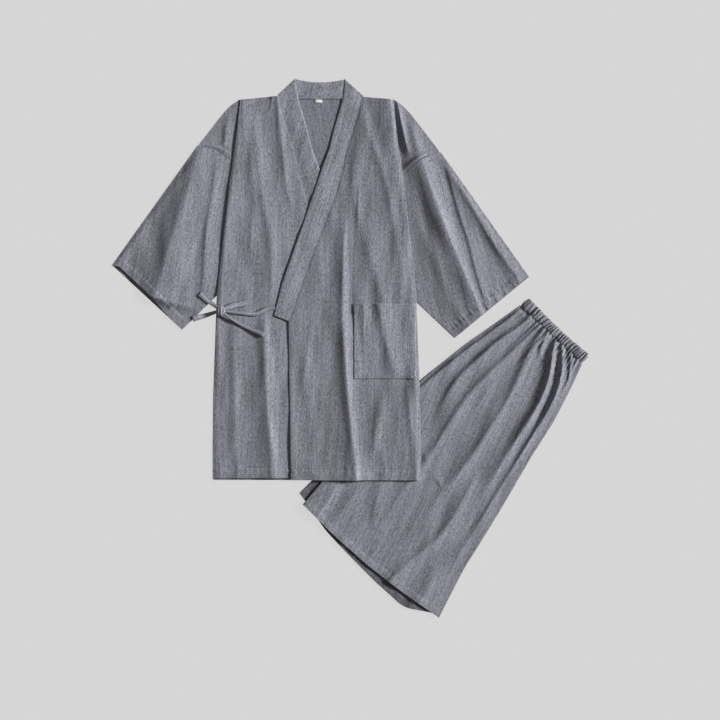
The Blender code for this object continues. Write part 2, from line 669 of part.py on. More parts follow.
def build_knot(table, finish):
    """A small pillow of strap wound over the middle of the bow."""
    rings = np.linspace(0, 2 * np.pi, KNOT_POINTS, endpoint=False)[None, :]
    levels, spread = np.array(KNOT_LEVELS).T[:, :, None]
    across = KNOT["across"] + KNOT["width"] / 2 * spread * np.cos(rings)
    up = KNOT["height"] + KNOT["length"] / 2 * spread * np.sin(rings)
    x, y = in_jacket(across, up)
    base = table.under(np.stack((x[1], x[1])), np.stack((y[1], y[1]))).max() + GAP
    reach = table.places(np.array([x.min(), x.max()]), np.array([y.min(), y.max()]))
    base = max(base, table.top[reach[0][0]:reach[0][1] + 1, reach[1][0]:reach[1][1] + 1].max() + GAP)
    z = base + KNOT["thick"] * levels + 0 * x
    points = np.stack((x, y, z), -1)
    count = points.shape[1]
    last = len(KNOT_LEVELS) - 1
    faces = [list(range(count))[::-1], [last * count + k for k in range(count)]]
    for i in range(last):
        for j in range(count):
            k = (j + 1) % count
            faces.append([i * count + j, i * count + k, (i + 1) * count + k, (i + 1) * count + j])
    mesh = bpy.data.meshes.new("bow_knot")
    mesh.from_pydata(points.reshape(-1, 3).tolist(), [], faces)
    mesh.materials.append(finish)
    made = bpy.data.objects.new("bow_knot", mesh)
    bpy.context.scene.collection.objects.link(made)
    return made


def centre_on_origin():
    """Slide the whole set so that the middle of its box stands over the origin."""
    objects = [o for o in bpy.context.scene.objects if o.type == "MESH"]
    corners = np.array([v.co[:] for o in objects for v in o.data.vertices])
    middle = (corners.min(axis=0) + corners.max(axis=0)) / 2
    for o in objects:
        for v in o.data.vertices:
            v.co.x -= middle[0]
            v.co.y -= middle[1]


def build():
    clear_scene()
    cloth = {
        "cloth": material("slub_cotton", CLOTH_COLOUR, CLOTH_ROUGHNESS),
        "band": material("slub_cotton_band", BAND_COLOUR, CLOTH_ROUGHNESS),
        "shade": material("slub_cotton_inside", SHADE_COLOUR, CLOTH_ROUGHNESS),
        "label": material("label_tape", LABEL_COLOUR, LABEL_ROUGHNESS),
    }
    table = Table()
    build_shorts(table, cloth)
    build_back(table, cloth["shade"])
    build_sleeve(table, -1, "right_sleeve", cloth["cloth"])
    build_sleeve(table, 1, "left_sleeve", cloth["cloth"])
    neck = lay_back_neck(table)
    build_front(table, -1, "right_front", RIGHT_FRONT_FOLDS, cloth["cloth"])
    right_band = lay_band(table, *collar_side(mirrored=True), ease=1)
    build_front(table, 1, "left_front", LEFT_FRONT_FOLDS, cloth["cloth"])
    left_band = lay_band(table, *collar_side(mirrored=False), ease=1)
    build_collar(right_band, neck, left_band, cloth["band"])
    build_pocket(table, cloth["band"])
    build_label(table, cloth["label"])
    build_bow(table, cloth["band"])
    centre_on_origin()


build()
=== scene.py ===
"""Jinbei set of slub cotton: a wrap jacket with a collar band, a patch pocket and a side tie,
and elastic-waisted shorts. Cut and sewn from one woven cloth, pressed, and laid flat on a table,
leg on leg, with the jacket's spare side width tucked in behind its fronts."""

import bpy
import numpy as np
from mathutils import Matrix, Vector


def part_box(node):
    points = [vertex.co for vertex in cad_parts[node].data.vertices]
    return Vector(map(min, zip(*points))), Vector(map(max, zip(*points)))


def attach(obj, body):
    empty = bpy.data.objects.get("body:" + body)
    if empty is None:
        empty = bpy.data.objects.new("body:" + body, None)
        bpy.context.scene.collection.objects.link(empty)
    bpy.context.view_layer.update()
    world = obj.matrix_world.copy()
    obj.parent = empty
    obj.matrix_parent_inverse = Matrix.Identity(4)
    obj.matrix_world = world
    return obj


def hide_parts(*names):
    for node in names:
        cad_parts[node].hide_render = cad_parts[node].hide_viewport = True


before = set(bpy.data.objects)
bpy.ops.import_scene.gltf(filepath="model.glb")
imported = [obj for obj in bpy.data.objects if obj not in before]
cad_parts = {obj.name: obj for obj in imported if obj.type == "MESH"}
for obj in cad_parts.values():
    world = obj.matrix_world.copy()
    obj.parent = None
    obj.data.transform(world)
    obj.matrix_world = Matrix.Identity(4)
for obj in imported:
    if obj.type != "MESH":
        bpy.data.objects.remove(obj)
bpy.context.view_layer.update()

# ---------------------------------------------------------------- shorts: the two legs
# Two legs of slub cotton, sewn into flattened tubes with a turned and stitched hem, and folded
# one on the other. They are gathered into the waist, from where folds run down the upper one.
# Its hem and side leave a strip of the under leg in sight, with the wrong side of its cloth up; the under
# leg's colour is also darkened as painted shade.
CLOTH = 0.0007            # one layer of cotton, with its nap
GAP = 0.0003              # air between two layers
HOLLOW = 0.0010           # space inside a flattened leg
EDGE_TURN = 0.0020        # reach of a soft folded edge
SHORTS_PLACE = (0.4203, 0.0341)
SHORTS_TURN = np.radians(38.8)
SHORTS_GRAIN = 64
HEM_START = 0.40          # the hem's sag starts this far down the leg
PUCKERS = 20              # gathers along the waist
SMOOTH_END = 0.07         # share of the waist, from its left, that has none
GATHER_RISE = 0.0054
WAIST_DIP = 0.0020        # how far the cloth dips under the band's lower edge

# Outline of each leg from its waist down: down and across at the left, down and across at the
# right. The under leg reaches past the upper one at the left and at the hem.
UPPER_LEG = (
    (0.0065, -0.0890, 0.0175, 0.0810),
    (0.060, -0.104, 0.061, 0.0925),
    (0.142, -0.128, 0.143, 0.1100),
    (0.240, -0.149, 0.236, 0.1205),
    (0.335, -0.161, 0.330, 0.135),
    (0.425, -0.171, 0.415, 0.1465),
    (0.510, -0.178, 0.500, 0.1565),
    (0.602, -0.180, 0.608, 0.179),
)
UNDER_LEG = (
    (0.0065, -0.0880, 0.0175, 0.0800),
    (0.060, -0.103, 0.061, 0.089),
    (0.142, -0.127, 0.143, 0.104),
    (0.240, -0.150, 0.236, 0.117),
    (0.335, -0.165, 0.330, 0.132),
    (0.425, -0.179, 0.415, 0.145),
    (0.510, -0.192, 0.500, 0.155),
    (0.588, -0.200, 0.604, 0.173),
)
# How far each hem sags past a straight line: share of the way across, sag
UPPER_HEM = ((0, 0), (0.25, 0.0078), (0.50, 0.0110), (0.75, 0.0078), (1, 0))
UNDER_HEM = ((0, 0), (0.08, 0.0085), (0.24, 0.0230), (0.42, 0.0294), (0.62, 0.0347), (0.72, 0.0350),
             (0.83, 0.0360), (0.95, 0.0110), (1, 0))

# Creases: reach to the left, reach to the right (each one number, or two from start to end),
# and the points of the crest, each with its rise.
UPPER_LEG_CREASES = (
    (0.006, 0.018, ((-0.085, 0.015, 0.0054), (-0.093, 0.050, 0.0063), (-0.118, 0.140, 0.0063),
        (-0.141, 0.245, 0.0056), (-0.150, 0.320, 0.0))),
    (0.010, (0.014, 0.034), ((-0.060, 0.012, 0.0070), (-0.0615, 0.034, 0.0085), (-0.0780, 0.078, 0.0100),
        (-0.0840, 0.110, 0.0098), (-0.0885, 0.142, 0.0090), (-0.0960, 0.186, 0.0070),
        (-0.0960, 0.225, 0.0056), (-0.0910, 0.250, 0.0040), (-0.080, 0.300, 0.0))),
    (0.014, (0.018, 0.028), ((-0.036, 0.012, 0.0055), (-0.043, 0.084, 0.0075), (-0.053, 0.147, 0.0078),
        (-0.058, 0.210, 0.0072), (-0.056, 0.256, 0.0062), (-0.046, 0.321, 0.0050),
        (-0.040, 0.380, 0.0030), (-0.042, 0.452, 0.0038), (-0.030, 0.520, 0.0))),
    ((0.016, 0.026), 0.020, ((-0.022, 0.012, 0.0070), (-0.019, 0.065, 0.0080), (-0.004, 0.106, 0.0064),
        (0.012, 0.175, 0.0072), (0.022, 0.271, 0.0084), (0.028, 0.330, 0.0070),
        (0.024, 0.402, 0.0052), (0.028, 0.450, 0.0040), (0.034, 0.520, 0.0))),
    (0.006, 0.010, ((-0.012, 0.012, 0.0050), (-0.004, 0.045, 0.0060), (0.008, 0.070, 0.0))),
    ((0.009, 0.026), 0.010, ((0.010, 0.012, 0.0070), (0.0165, 0.037, 0.0085), (0.044, 0.071, 0.0108),
        (0.065, 0.133, 0.0120), (0.0760, 0.227, 0.0084), (0.085, 0.300, 0.0046),
        (0.094, 0.370, 0.0))),
    (0.007, 0.012, ((0.024, 0.012, 0.0060), (0.038, 0.032, 0.0072), (0.066, 0.058, 0.0090),
        (0.086, 0.117, 0.0098), (0.098, 0.211, 0.0052), (0.113, 0.330, 0.0030),
        (0.128, 0.450, 0.0014), (0.150, 0.590, 0.0006))),
    (0.005, 0.006, ((0.046, 0.012, 0.0036), (0.062, 0.030, 0.0046), (0.082, 0.062, 0.0040),
        (0.093, 0.110, 0.0))),
    (0.004, 0.005, ((0.069, 0.012, 0.0040), (0.077, 0.055, 0.0))),
    (0.016, 0.020, ((0.058, 0.330, 0.0), (0.064, 0.367, 0.0042), (0.076, 0.430, 0.0052),
        (0.077, 0.490, 0.0058), (0.061, 0.560, 0.0047), (0.056, 0.612, 0.0036))),
    (0.007, 0.007, ((-0.012, 0.386, 0.0), (0.006, 0.391, 0.0024), (0.024, 0.399, 0.0))),
    (0.010, 0.010, ((-0.062, 0.358, 0.0), (-0.045, 0.370, 0.0014), (-0.028, 0.382, 0.0))),
    (0.010, 0.012, ((-0.088, 0.455, 0.0), (-0.066, 0.508, 0.0030), (-0.048, 0.550, 0.0))),
    (0.030, 0.010, ((-0.153, 0.495, 0.0), (-0.149, 0.540, 0.0045), (-0.146, 0.570, 0.0052),
        (-0.143, 0.612, 0.0048))),
)
UNDER_LEG_CREASES = (
    (0.014, 0.014, ((0.110, 0.480, 0.0), (0.120, 0.560, 0.0030), (0.126, 0.640, 0.0045))),
    (0.012, 0.012, ((-0.060, 0.520, 0.0), (-0.068, 0.580, 0.0023), (-0.070, 0.640, 0.0030))),
)
HEM_DEPTH = 0.0135
HEM_RISE = 0.0008


class Heap:
    """How high the cloth that is already laid reaches, on a square net of cells."""

    HALF = 0.62
    CELL = 0.002

    def __init__(self):
        self.count = int(round(2 * self.HALF / self.CELL)) + 1
        self.top = np.zeros((self.count, self.count))

    def cells(self, x, y):
        column = np.rint((x + self.HALF) / self.CELL).astype(int)
        row = np.rint((y + self.HALF) / self.CELL).astype(int)
        return np.clip(row, 0, self.count - 1), np.clip(column, 0, self.count - 1)

    def add(self, points):
        """Record a laid sheet from 5 x 5 points spread evenly over each of its quads."""
        t = np.linspace(0, 1, 5)
        u, v = t[:, None, None], t[None, :, None]
        a, b = points[:-1, :-1, None, None], points[:-1, 1:, None, None]
        c, d = points[1:, :-1, None, None], points[1:, 1:, None, None]
        spread = a * (1 - u) * (1 - v) + b * (1 - u) * v + c * u * (1 - v) + d * u * v
        np.maximum.at(self.top, self.cells(spread[..., 0], spread[..., 1]), spread[..., 2])

    def lay(self, x, y, ease):
        """Underside of a sheet that clears the heap: each pass takes the mean of a point's four
        neighbours, or the least height that clears what is below, whichever is higher."""
        spread = self.top
        for axis in (0, 1):
            spread = np.maximum(spread, np.maximum(np.roll(spread, 1, axis), np.roll(spread, -1, axis)))
        least = spread[self.cells(x, y)]
        least = np.where(least > 0, least + GAP, 0.0)
        z = least
        for _ in range(ease):
            z = np.maximum(least, neighbour_mean(z))
        return np.maximum(neighbour_mean(neighbour_mean(z)), least - GAP / 2)


def neighbour_mean(z):
    p = np.pad(z, 1, mode="edge")
    return (p[:-2, 1:-1] + p[2:, 1:-1] + p[1:-1, :-2] + p[1:-1, 2:]) / 4


def creases(x, y, lines):
    """Height of hand-laid folds. Each follows a softened line through its points. Across it,
    with q = distance / reach, the rise falls off as exp(-2 (sqrt(q ** 2 + tip ** 2) - tip)), a
    crest with a rounded tip; past either end as exp(-(overrun / end) ** 2)."""
    end, tip = 0.012, 0.28
    total = np.zeros(np.shape(x))
    for left, right, points in lines:
        points = np.array(points)
        run = points[-1, :2] - points[0, :2]
        length = np.hypot(*run)
        run = run / length
        side = np.array((abs(run[1]), -run[0] * np.copysign(1.0, run[1])))
        station = np.linspace(0, length, 49)
        known = (points[:, :2] - points[0, :2]) @ run
        rows = np.array([np.interp(station, known, (points[:, :2] - points[0, :2]) @ side),
                         np.interp(station, known, points[:, 2])])
        for _ in range(10):
            rows[:, 1:-1] = (rows[:, :-2] + 2 * rows[:, 1:-1] + rows[:, 2:]) / 4
        along = (x - points[0, 0]) * run[0] + (y - points[0, 1]) * run[1]
        aside = (x - points[0, 0]) * side[0] + (y - points[0, 1]) * side[1]
        aside = aside - np.interp(along, station, rows[0])
        rise = np.interp(along, station, rows[1])
        share = np.clip(along / length, 0, 1)
        (l0, l1), (r0, r1) = np.broadcast_to(left, 2), np.broadcast_to(right, 2)
        reach = np.where(aside < 0, l0 + (l1 - l0) * share, r0 + (r1 - r0) * share)
        over = np.maximum(-along, 0) + np.maximum(along - length, 0)
        fall = 2 * (np.sqrt((aside / reach) ** 2 + tip ** 2) - tip)
        total += rise * np.exp(-fall - (over / end) ** 2)
    return total


def crumple(x, y, grain, depth, seed):
    """Slight unevenness of pressed cloth: 40 seeded cosine waves, short across the grain and
    long along it, added up and divided by the root of their number."""
    rng = np.random.default_rng(seed)
    count, across, along = 40, 0.034, 0.190
    angle = np.radians(grain)
    v = x * np.cos(angle) + y * np.sin(angle)
    u = x * np.sin(angle) - y * np.cos(angle)
    wave_u = 2 * np.pi / (across * rng.uniform(0.55, 2.4, count))
    wave_v = 2 * np.pi / (along * rng.uniform(0.5, 2.4, count)) * rng.choice((-1, 1), count)
    phase = rng.uniform(0, 2 * np.pi, count)
    total = np.zeros(np.shape(x))
    for a, b, c in zip(wave_u, wave_v, phase):
        total += np.cos(a * u + b * v + c) * (2 * np.pi / across) / a
    return depth * total / np.sqrt(count)


def hem_relief(distance, along, depth, seed):
    """Doubled cloth within depth of an edge: a step up, a groove at the stitching, and puckers
    whose spacing drifts along the hem."""
    step = HEM_RISE / (1 + np.exp((distance - depth) / 0.0012))
    groove = -0.0006 * np.exp(-((distance - depth) / 0.0022) ** 2)
    drift = 1.7 * np.sin(2 * np.pi * along / 0.061 + seed) + 1.1 * np.sin(2 * np.pi * along / 0.023)
    pucker = np.sin(2 * np.pi * along / 0.0125 + drift) * np.exp(-((distance - depth) / 0.008) ** 2)
    return step + groove + 0.0004 * pucker


def finer(rows, count):
    """A table resampled evenly along its first column, with its corners softened."""
    rows = np.array(rows, float)
    station = np.linspace(rows[0, 0], rows[-1, 0], count)
    made = np.stack([np.interp(station, rows[:, 0], column) for column in rows.T], -1)
    for _ in range(max(4, count // 8)):
        made[1:-1] = (made[:-2] + 2 * made[1:-1] + made[2:]) / 4
    return made


def in_shorts(down, across):
    """World x and y of a place on the shorts, which are turned on the table."""
    c, s = np.cos(SHORTS_TURN), np.sin(SHORTS_TURN)
    return (SHORTS_PLACE[0] - s * down + c * across, SHORTS_PLACE[1] - c * down - s * across)


def round_edge(upper, lower, inner, turn=EDGE_TURN):
    """Columns of points that carry a sheet round a folded edge: a half ellipse from the upper
    column to the lower one, bulging away from the inner column."""
    angle = np.radians((65, 35, 0, -35, -65))
    out = upper[:, :2] - inner[:, :2]
    out = out / np.maximum(np.linalg.norm(out, axis=1, keepdims=True), 1e-9)
    middle, half = (upper + lower) / 2, (upper[:, 2] - lower[:, 2]) / 2
    bend = np.repeat(middle[:, None], len(angle), axis=1)
    bend[..., :2] += out[:, None] * turn * np.cos(angle)[:, None]
    bend[..., 2] += half[:, None] * np.sin(angle)
    return bend


def tube_rings(top, under):
    """Rings of a flattened tube: top, right edge, underside, left edge."""
    right = round_edge(top[:, -1], under[:, -1], top[:, -3])
    left = round_edge(top[:, 0], under[:, 0], top[:, 2])
    return np.concatenate((top, right, under[:, ::-1], left[:, ::-1]), axis=1)


def inset(points, distance):
    """The line that runs this far in from a grid's last row, measured up each column."""
    up = points[::-1]
    gone = np.cumsum(np.linalg.norm(np.diff(up, axis=0), axis=-1), axis=0)
    row = np.argmax(gone > distance, axis=0)[None, :, None]
    return np.take_along_axis(up[1:], row, axis=0)[0]


def grain_places(points, grain):
    """Place on the cloth in metres: u across the grain and v along it."""
    angle = np.radians(grain)
    x, y = points[..., 0], points[..., 1]
    return np.stack((x * np.sin(angle) - y * np.cos(angle), x * np.cos(angle) + y * np.sin(angle)), -1)


def sheet_mesh(name, points, places, finish, wrap=False, keep=None, cut=None, thick=CLOTH):
    """A sheet of quads through a grid of points, face up at its first cell, and given a wall
    below. wrap joins the last column to the first, and keep marks the cells that exist. Along
    its rim the shading breaks at the points that cut marks, or at all of them."""
    rows, columns = points.shape[:2]
    i, j = np.meshgrid(np.arange(rows - 1), np.arange(columns if wrap else columns - 1), indexing="ij")
    k = (j + 1) % columns
    quads = np.stack((i * columns + j, i * columns + k, (i + 1) * columns + k, (i + 1) * columns + j), -1)
    first = points[:2, :2]
    if np.cross(first[0, 1] - first[0, 0], first[1, 0] - first[0, 0])[2] < 0:
        quads = quads[..., ::-1]
    quads = quads[keep] if keep is not None else quads.reshape(-1, 4)
    used, quads = np.unique(quads, return_inverse=True)
    quads = quads.reshape(-1, 4)
    mesh = bpy.data.meshes.new(name)
    mesh.from_pydata(points.reshape(-1, 3)[used].tolist(), [], quads.tolist())
    mesh.polygons.foreach_set("use_smooth", np.ones(len(quads), bool))
    ends, face_edges = np.empty(2 * len(mesh.edges), np.int32), np.empty(len(mesh.loops), np.int32)
    mesh.edges.foreach_get("vertices", ends)
    mesh.loops.foreach_get("edge_index", face_edges)
    sharp = np.bincount(face_edges, minlength=len(mesh.edges)) == 1
    if cut is not None:
        sharp &= cut.ravel()[used][ends.reshape(-1, 2)].all(axis=1)
    mesh.edges.foreach_set("use_edge_sharp", sharp)
    layer = mesh.uv_layers.new(name="UVMap")
    layer.data.foreach_set("uv", places.reshape(-1, 2)[used][quads.ravel()].ravel())
    mesh.materials.append(finish)
    made = bpy.data.objects.new(name, mesh)
    bpy.context.scene.collection.objects.link(made)
    wall = made.modifiers.new("wall", "SOLIDIFY")
    wall.thickness = thick
    wall.offset = -1.0
    return made


class Wire:
    """A value on its way through a shader. Arithmetic on it adds Math nodes, so that a formula
    reads as it is written."""

    def __init__(self, tree, socket):
        self.tree, self.socket = tree, socket

    @classmethod
    def node(cls, tree, kind, settings, sockets):
        """Add a node: its settings first, then its socket values or links."""
        made = tree.nodes.new(kind)
        for key, value in settings.items():
            setattr(made, key, value)
        for key, value in sockets.items():
            if isinstance(value, Wire):
                tree.links.new(value.socket, made.inputs[key])
            else:
                made.inputs[key].default_value = value
        return cls(tree, made.outputs[0])

    def math(self, operation, first, second=0.0):
        return self.node(self.tree, "ShaderNodeMath", {"operation": operation}, {0: first, 1: second})

    def __add__(self, other):
        return self.math("ADD", self, other)

    def __radd__(self, other):
        return self.math("ADD", other, self)

    def __sub__(self, other):
        return self.math("SUBTRACT", self, other)

    def __rsub__(self, other):
        return self.math("SUBTRACT", other, self)

    def __mul__(self, other):
        return self.math("MULTIPLY", self, other)

    def __rmul__(self, other):
        return self.math("MULTIPLY", other, self)


def slub_cotton(name, colour, contrast=1.0, rim=None):
    """Chambray of dark and pale slub yarn, read in metres on the cloth's own grain.

    tone = 1 + slub streaks + long streaks + soft patches + pale flecks, each a noise stretched
    to its own width and length; the colour is the cloth's times tone. A strap gets painted shade
    at its two rims, over the outer 40% of its half width: 1 - 0.6 clamp(2.5 |u| / rim - 1.5),
    with u across it. The same streaks and a fine weave, as heights, tilt the surface a little.
    """
    made = bpy.data.materials.new(name)
    made.use_nodes = True
    tree = made.node_tree
    shader = tree.nodes["Principled BSDF"]
    place = Wire.node(tree, "ShaderNodeUVMap", {"uv_map": "UVMap"}, {})

    def streaks(width, length, detail):
        scaled = Wire.node(tree, "ShaderNodeVectorMath", {"operation": "MULTIPLY"},
                           {0: place, 1: (1 / width, 1 / length, 1.0)})
        return Wire.node(tree, "ShaderNodeTexNoise", {"noise_dimensions": "2D"},
                         {"Vector": scaled, "Scale": 1.0, "Detail": detail, "Roughness": 0.55})

    slub = streaks(0.0028, 0.011, 2.0)
    long_streak = streaks(0.0052, 0.080, 1.0)
    patch = streaks(0.045, 0.110, 1.0)
    fleck = streaks(0.0018, 0.0050, 1.0)
    weave = streaks(0.0008, 0.0008, 0.0)
    tone = (1.0 + contrast * (0.80 * (slub - 0.5) + 0.62 * (long_streak - 0.5)
                              + 0.25 * (patch - 0.5) + 1.35 * (fleck - 0.5)))
    # painted shade: a strap's colour darkens towards its two rims, where it meets the cloth below
    if rim:
        u = Wire.node(tree, "ShaderNodeSeparateXYZ", {}, {0: place})
        aside = u.math("ABSOLUTE", u)
        tone = tone * (1.0 - 0.6 * Wire.node(tree, "ShaderNodeClamp", {}, {0: aside * (2.5 / rim) - 1.5}))
    tinted = Wire.node(tree, "ShaderNodeVectorMath", {"operation": "SCALE"}, {0: colour, "Scale": tone})
    relief = Wire.node(tree, "ShaderNodeBump", {}, {
        "Strength": 0.35, "Distance": 0.0004, "Height": slub + 0.5 * fleck + 0.35 * weave})
    tree.links.new(tinted.socket, shader.inputs["Base Color"])
    tree.links.new(relief.socket, shader.inputs["Normal"])
    shader.inputs["Roughness"].default_value = 0.92
    shader.inputs["Sheen Weight"].default_value = 0.08
    shader.inputs["Sheen Roughness"].default_value = 0.6
    shader.inputs["Specular IOR Level"].default_value = 0.15
    return made


CLOTH_COLOUR = (0.230, 0.233, 0.269)
heap = Heap()
body_cotton = slub_cotton("slub_cotton", CLOTH_COLOUR)
stitch_paths = []


def waist_gathers(f):
    """Rise of the gathers at each share f of the waist: bulges with sharp grooves between them,
    |sin(pi phase)| ** 0.7, where the phase runs faster towards the right and wanders."""
    phase = PUCKERS * (0.72 * f + 0.28 * f ** 2) + 0.22 * np.sin(23 * f)
    uneven = 0.75 + 0.25 * np.sin(17 * f + 1.0)
    bulge = np.abs(np.sin(np.pi * phase)) ** 0.7
    return GATHER_RISE * uneven * bulge * np.clip((f - SMOOTH_END) / 0.05, 0, 1)


def leg(name, rows, hem, lines, cloth, gathered, seed):
    """One flattened leg. Its top carries the creases, gathers that fade down from the waist,
    and the hem; its underside lies flat on what is below."""
    hem_share, hem_sag = np.array(hem).T
    table = finer(rows, 200 if gathered else 110)
    tops, unders = (196, 24) if gathered else (70, 24)

    def places(f):
        down = table[:, 0:1] * (1 - f) + table[:, 2:3] * f
        across = table[:, 1:2] * (1 - f) + table[:, 3:4] * f
        sag = np.clip((down - HEM_START) / (table[-1, 0] - HEM_START), 0, 1) ** 2
        depth = sum(np.interp(f + shift, hem_share, hem_sag) for shift in (-0.03, -0.01, 0.01, 0.03))
        return down + sag * depth / 4, across

    f = np.linspace(0, 1, tops)[None, :]
    down, across = places(f)
    x, y = in_shorts(down, across)
    low = heap.lay(x, y, ease=40)
    hem_line = down[-1:]
    gather = gathered * waist_gathers(f) * np.exp(-(down - down[:1]) / (0.026 + 0.014 * np.sin(31 * f)))
    relief = (creases(across, down, lines) + crumple(x, y, SHORTS_GRAIN, 0.0004, seed)
              + gather + hem_relief(hem_line - down, across, HEM_DEPTH, seed))
    dip = WAIST_DIP * gathered * np.exp(-((down - down[:1]) / 0.005) ** 2)
    high = low + 2 * CLOTH + HOLLOW + np.maximum(relief + 0.0003 - dip, 0)
    top = np.stack((x, y, high), -1)
    down, across = places(np.linspace(0, 1, unders)[None, :])
    x, y = in_shorts(down, across)
    under = np.stack((x, y, heap.lay(x, y, ease=10)), -1)
    rings = tube_rings(top, under)
    made = sheet_mesh(name, rings, grain_places(rings, SHORTS_GRAIN), cloth, wrap=True)
    heap.add(top)
    stitch_paths.append(inset(top, HEM_DEPTH))
    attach(made, "root")
    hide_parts(name)
    return top


UNDER_LEG_SHADED_COLOUR = (0.122, 0.124, 0.142)      # the wrong side of the cloth, turned out at the under leg, darkened further as painted shade
under_leg_shaded_cotton = slub_cotton("slub_cotton_under_shaded", UNDER_LEG_SHADED_COLOUR)
leg("shorts_left_leg", UNDER_LEG, UNDER_HEM, UNDER_LEG_CREASES, under_leg_shaded_cotton, 0, seed=11)
upper_leg = leg("shorts_right_leg", UPPER_LEG, UPPER_HEM, UPPER_LEG_CREASES, body_cotton, 1, seed=12)

# ---------------------------------------------------------------- shorts: elastic waistband
# A doubled strip of the same cotton round a flat elastic, sewn over the top of both legs. The
# elastic draws it up into narrow puckers, a little closer together towards the right.
BAND = 0.0018             # a folded and sewn band
WAIST_TOP = (-0.0170, -0.0850, -0.0040, 0.0840)
WAIST_SEAM = (0.0060, -0.0890, 0.0170, 0.0810)
WAIST_BOW = 0.004
BAND_ROW = 6              # the leg's row of points whose level the band takes up
WAIST_LAP = 0.0020        # how far the band reaches down over the legs
BAND_PUCKERS = 25
PUCKER_RISE = 0.0062
PUCKER_REACH = 0.0010     # how far each pucker pushes the band's top edge out
END_SHARE, END_TURN = 0.06, 0.0026     # share of the width over which an end turns, and how far
BAND_DROP = 0.0012        # how far the band's edges lie below the cloth beside them
BAND_ROLL = 0.0016        # how much rounder its middle is than its edges
BAND_COLOUR = (0.250, 0.253, 0.292)
band_cotton = slub_cotton("slub_cotton_band", BAND_COLOUR, contrast=1.1)

f = np.linspace(0, 1, 196)[None, :]
g = np.linspace(0, 1, 15)[:, None]
top_down, top_across = (WAIST_TOP[k] * (1 - f) + WAIST_TOP[k + 2] * f for k in (0, 1))
seam_down, seam_across = (WAIST_SEAM[k] * (1 - f) + WAIST_SEAM[k + 2] * f for k in (0, 1))
phase = BAND_PUCKERS * (0.85 * f + 0.15 * f ** 2)
phase = phase + 0.25 * np.sin(29 * f) + 0.35 * (1 - g) * np.sin(13 * f)
lobe = np.abs(np.sin(np.pi * phase)) ** 0.9 * (0.70 + 0.30 * np.sin(41 * f + 2 * g))
lobe = lobe * np.clip((f - SMOOTH_END / 2) / 0.05, 0, 1)
end_round = (np.clip((f - 1 + END_SHARE) / END_SHARE, 0, 1) ** 2
             - np.clip((END_SHARE - f) / END_SHARE, 0, 1) ** 2)
crown = WAIST_BOW * np.sin(np.pi * f) * (1 - g)
down = top_down * (1 - g) + (seam_down + WAIST_LAP) * g + crown - PUCKER_REACH * lobe * (1 - g)
across = top_across * (1 - g) + seam_across * g - END_TURN * end_round * (2 * g - 1) ** 2
x, y = in_shorts(down, across)
flat_level = upper_leg[BAND_ROW, :, 2][None] - waist_gathers(f)
for _ in range(30):
    flat_level[:, 1:-1] = (flat_level[:, :-2] + 2 * flat_level[:, 1:-1] + flat_level[:, 2:]) / 4
rolled = BAND_ROLL * (1 - np.abs(2 * g - 1) ** 4)
band_top = flat_level - BAND_DROP + rolled + PUCKER_RISE * lobe * (1 - 0.6 * g ** 6)
top = np.stack((x, y, band_top + 0 * x), -1)
under = np.stack((x, y, 0 * x), -1)[:, ::5]
rings = tube_rings(top, under)
waistband = sheet_mesh("shorts_waistband", rings, grain_places(rings, SHORTS_GRAIN), band_cotton,
                       wrap=True, thick=CLOTH)
heap.add(top)
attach(waistband, "root")
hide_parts("shorts_waistband")

# ---------------------------------------------------------------- jacket: back
# One panel of the cotton from the hem to the shoulders, and the lowest layer of the jacket. Only
# its inside shows, at the neck. Below the underarm it ends at the fronts' folded sides.
# Height up from the hem, folded side edge, and width tucked in behind it
UNDERARM = 0.375
SHOULDER = 0.779
NECK_RISE = 0.007
SIDE = (
    (0.000, 0.2130, 0.082),
    (0.055, 0.2130, 0.082),
    (0.110, 0.2125, 0.082),
    (0.170, 0.2120, 0.083),
    (0.240, 0.2095, 0.085),
    (0.310, 0.2070, 0.088),
    (0.375, 0.2045, 0.090),
    (0.440, 0.1980, 0.100),
    (0.500, 0.1910, 0.105),
    (0.560, 0.1840, 0.095),
    (0.608, 0.1790, 0.075),
    (0.640, 0.1740, 0.062),
    (0.666, 0.1710, 0.055),
    (0.681, 0.1680, 0.050),
    (0.715, 0.1640, 0.035),
    (0.750, 0.1600, 0.020),
    (0.779, 0.1570, 0.006),
)
# Armhole seam from the underarm to its tip on the outline, as height and reach, for the
# wearer's right (-1) and left (1), and the shoulder's outline from there to the shoulder point
ARM_SEAM = {
    -1: ((0.390, 0.1935), (0.440, 0.187), (0.500, 0.178), (0.560, 0.170), (0.620, 0.166),
         (0.645, 0.170), (0.657, 0.178), (0.667, 0.190), (0.678, 0.209), (0.685, 0.242)),
    1: ((0.375, 0.195), (0.440, 0.187), (0.500, 0.178), (0.560, 0.170), (0.612, 0.168),
        (0.628, 0.181), (0.641, 0.195), (0.652, 0.207), (0.664, 0.229), (0.672, 0.2525)),
}
SHOULDER_OUTLINE = ((0.690, 0.2390), (0.710, 0.2235), (0.735, 0.2045), (0.750, 0.1925),
        (0.766, 0.1775), (0.779, 0.1590))
POCKET_LEFT, POCKET_RIGHT = 0.076, 0.2035
POCKET_BOTTOM, POCKET_TOP = 0.207, 0.361
POCKET_SIZE = (0.1275, 0.154)
MOUTH_LIFT = 0.0012
pocket_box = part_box("pocket")
JACKET_PLACE = ((pocket_box[0][0] + pocket_box[1][0] - POCKET_LEFT - POCKET_RIGHT) / 2,
                pocket_box[0][1] - POCKET_BOTTOM)
BODY_GRAIN = 89


def in_jacket(across, height):
    """World x and y of a place on the jacket: across from its middle, and up from its hem."""
    return across + JACKET_PLACE[0], height + JACKET_PLACE[1]


def shoulder_line(across):
    """Height of the top edge: it rises a little from the shoulder point towards the collar."""
    return SHOULDER + NECK_RISE * np.clip((0.157 - np.abs(across)) / 0.07, 0, 1)


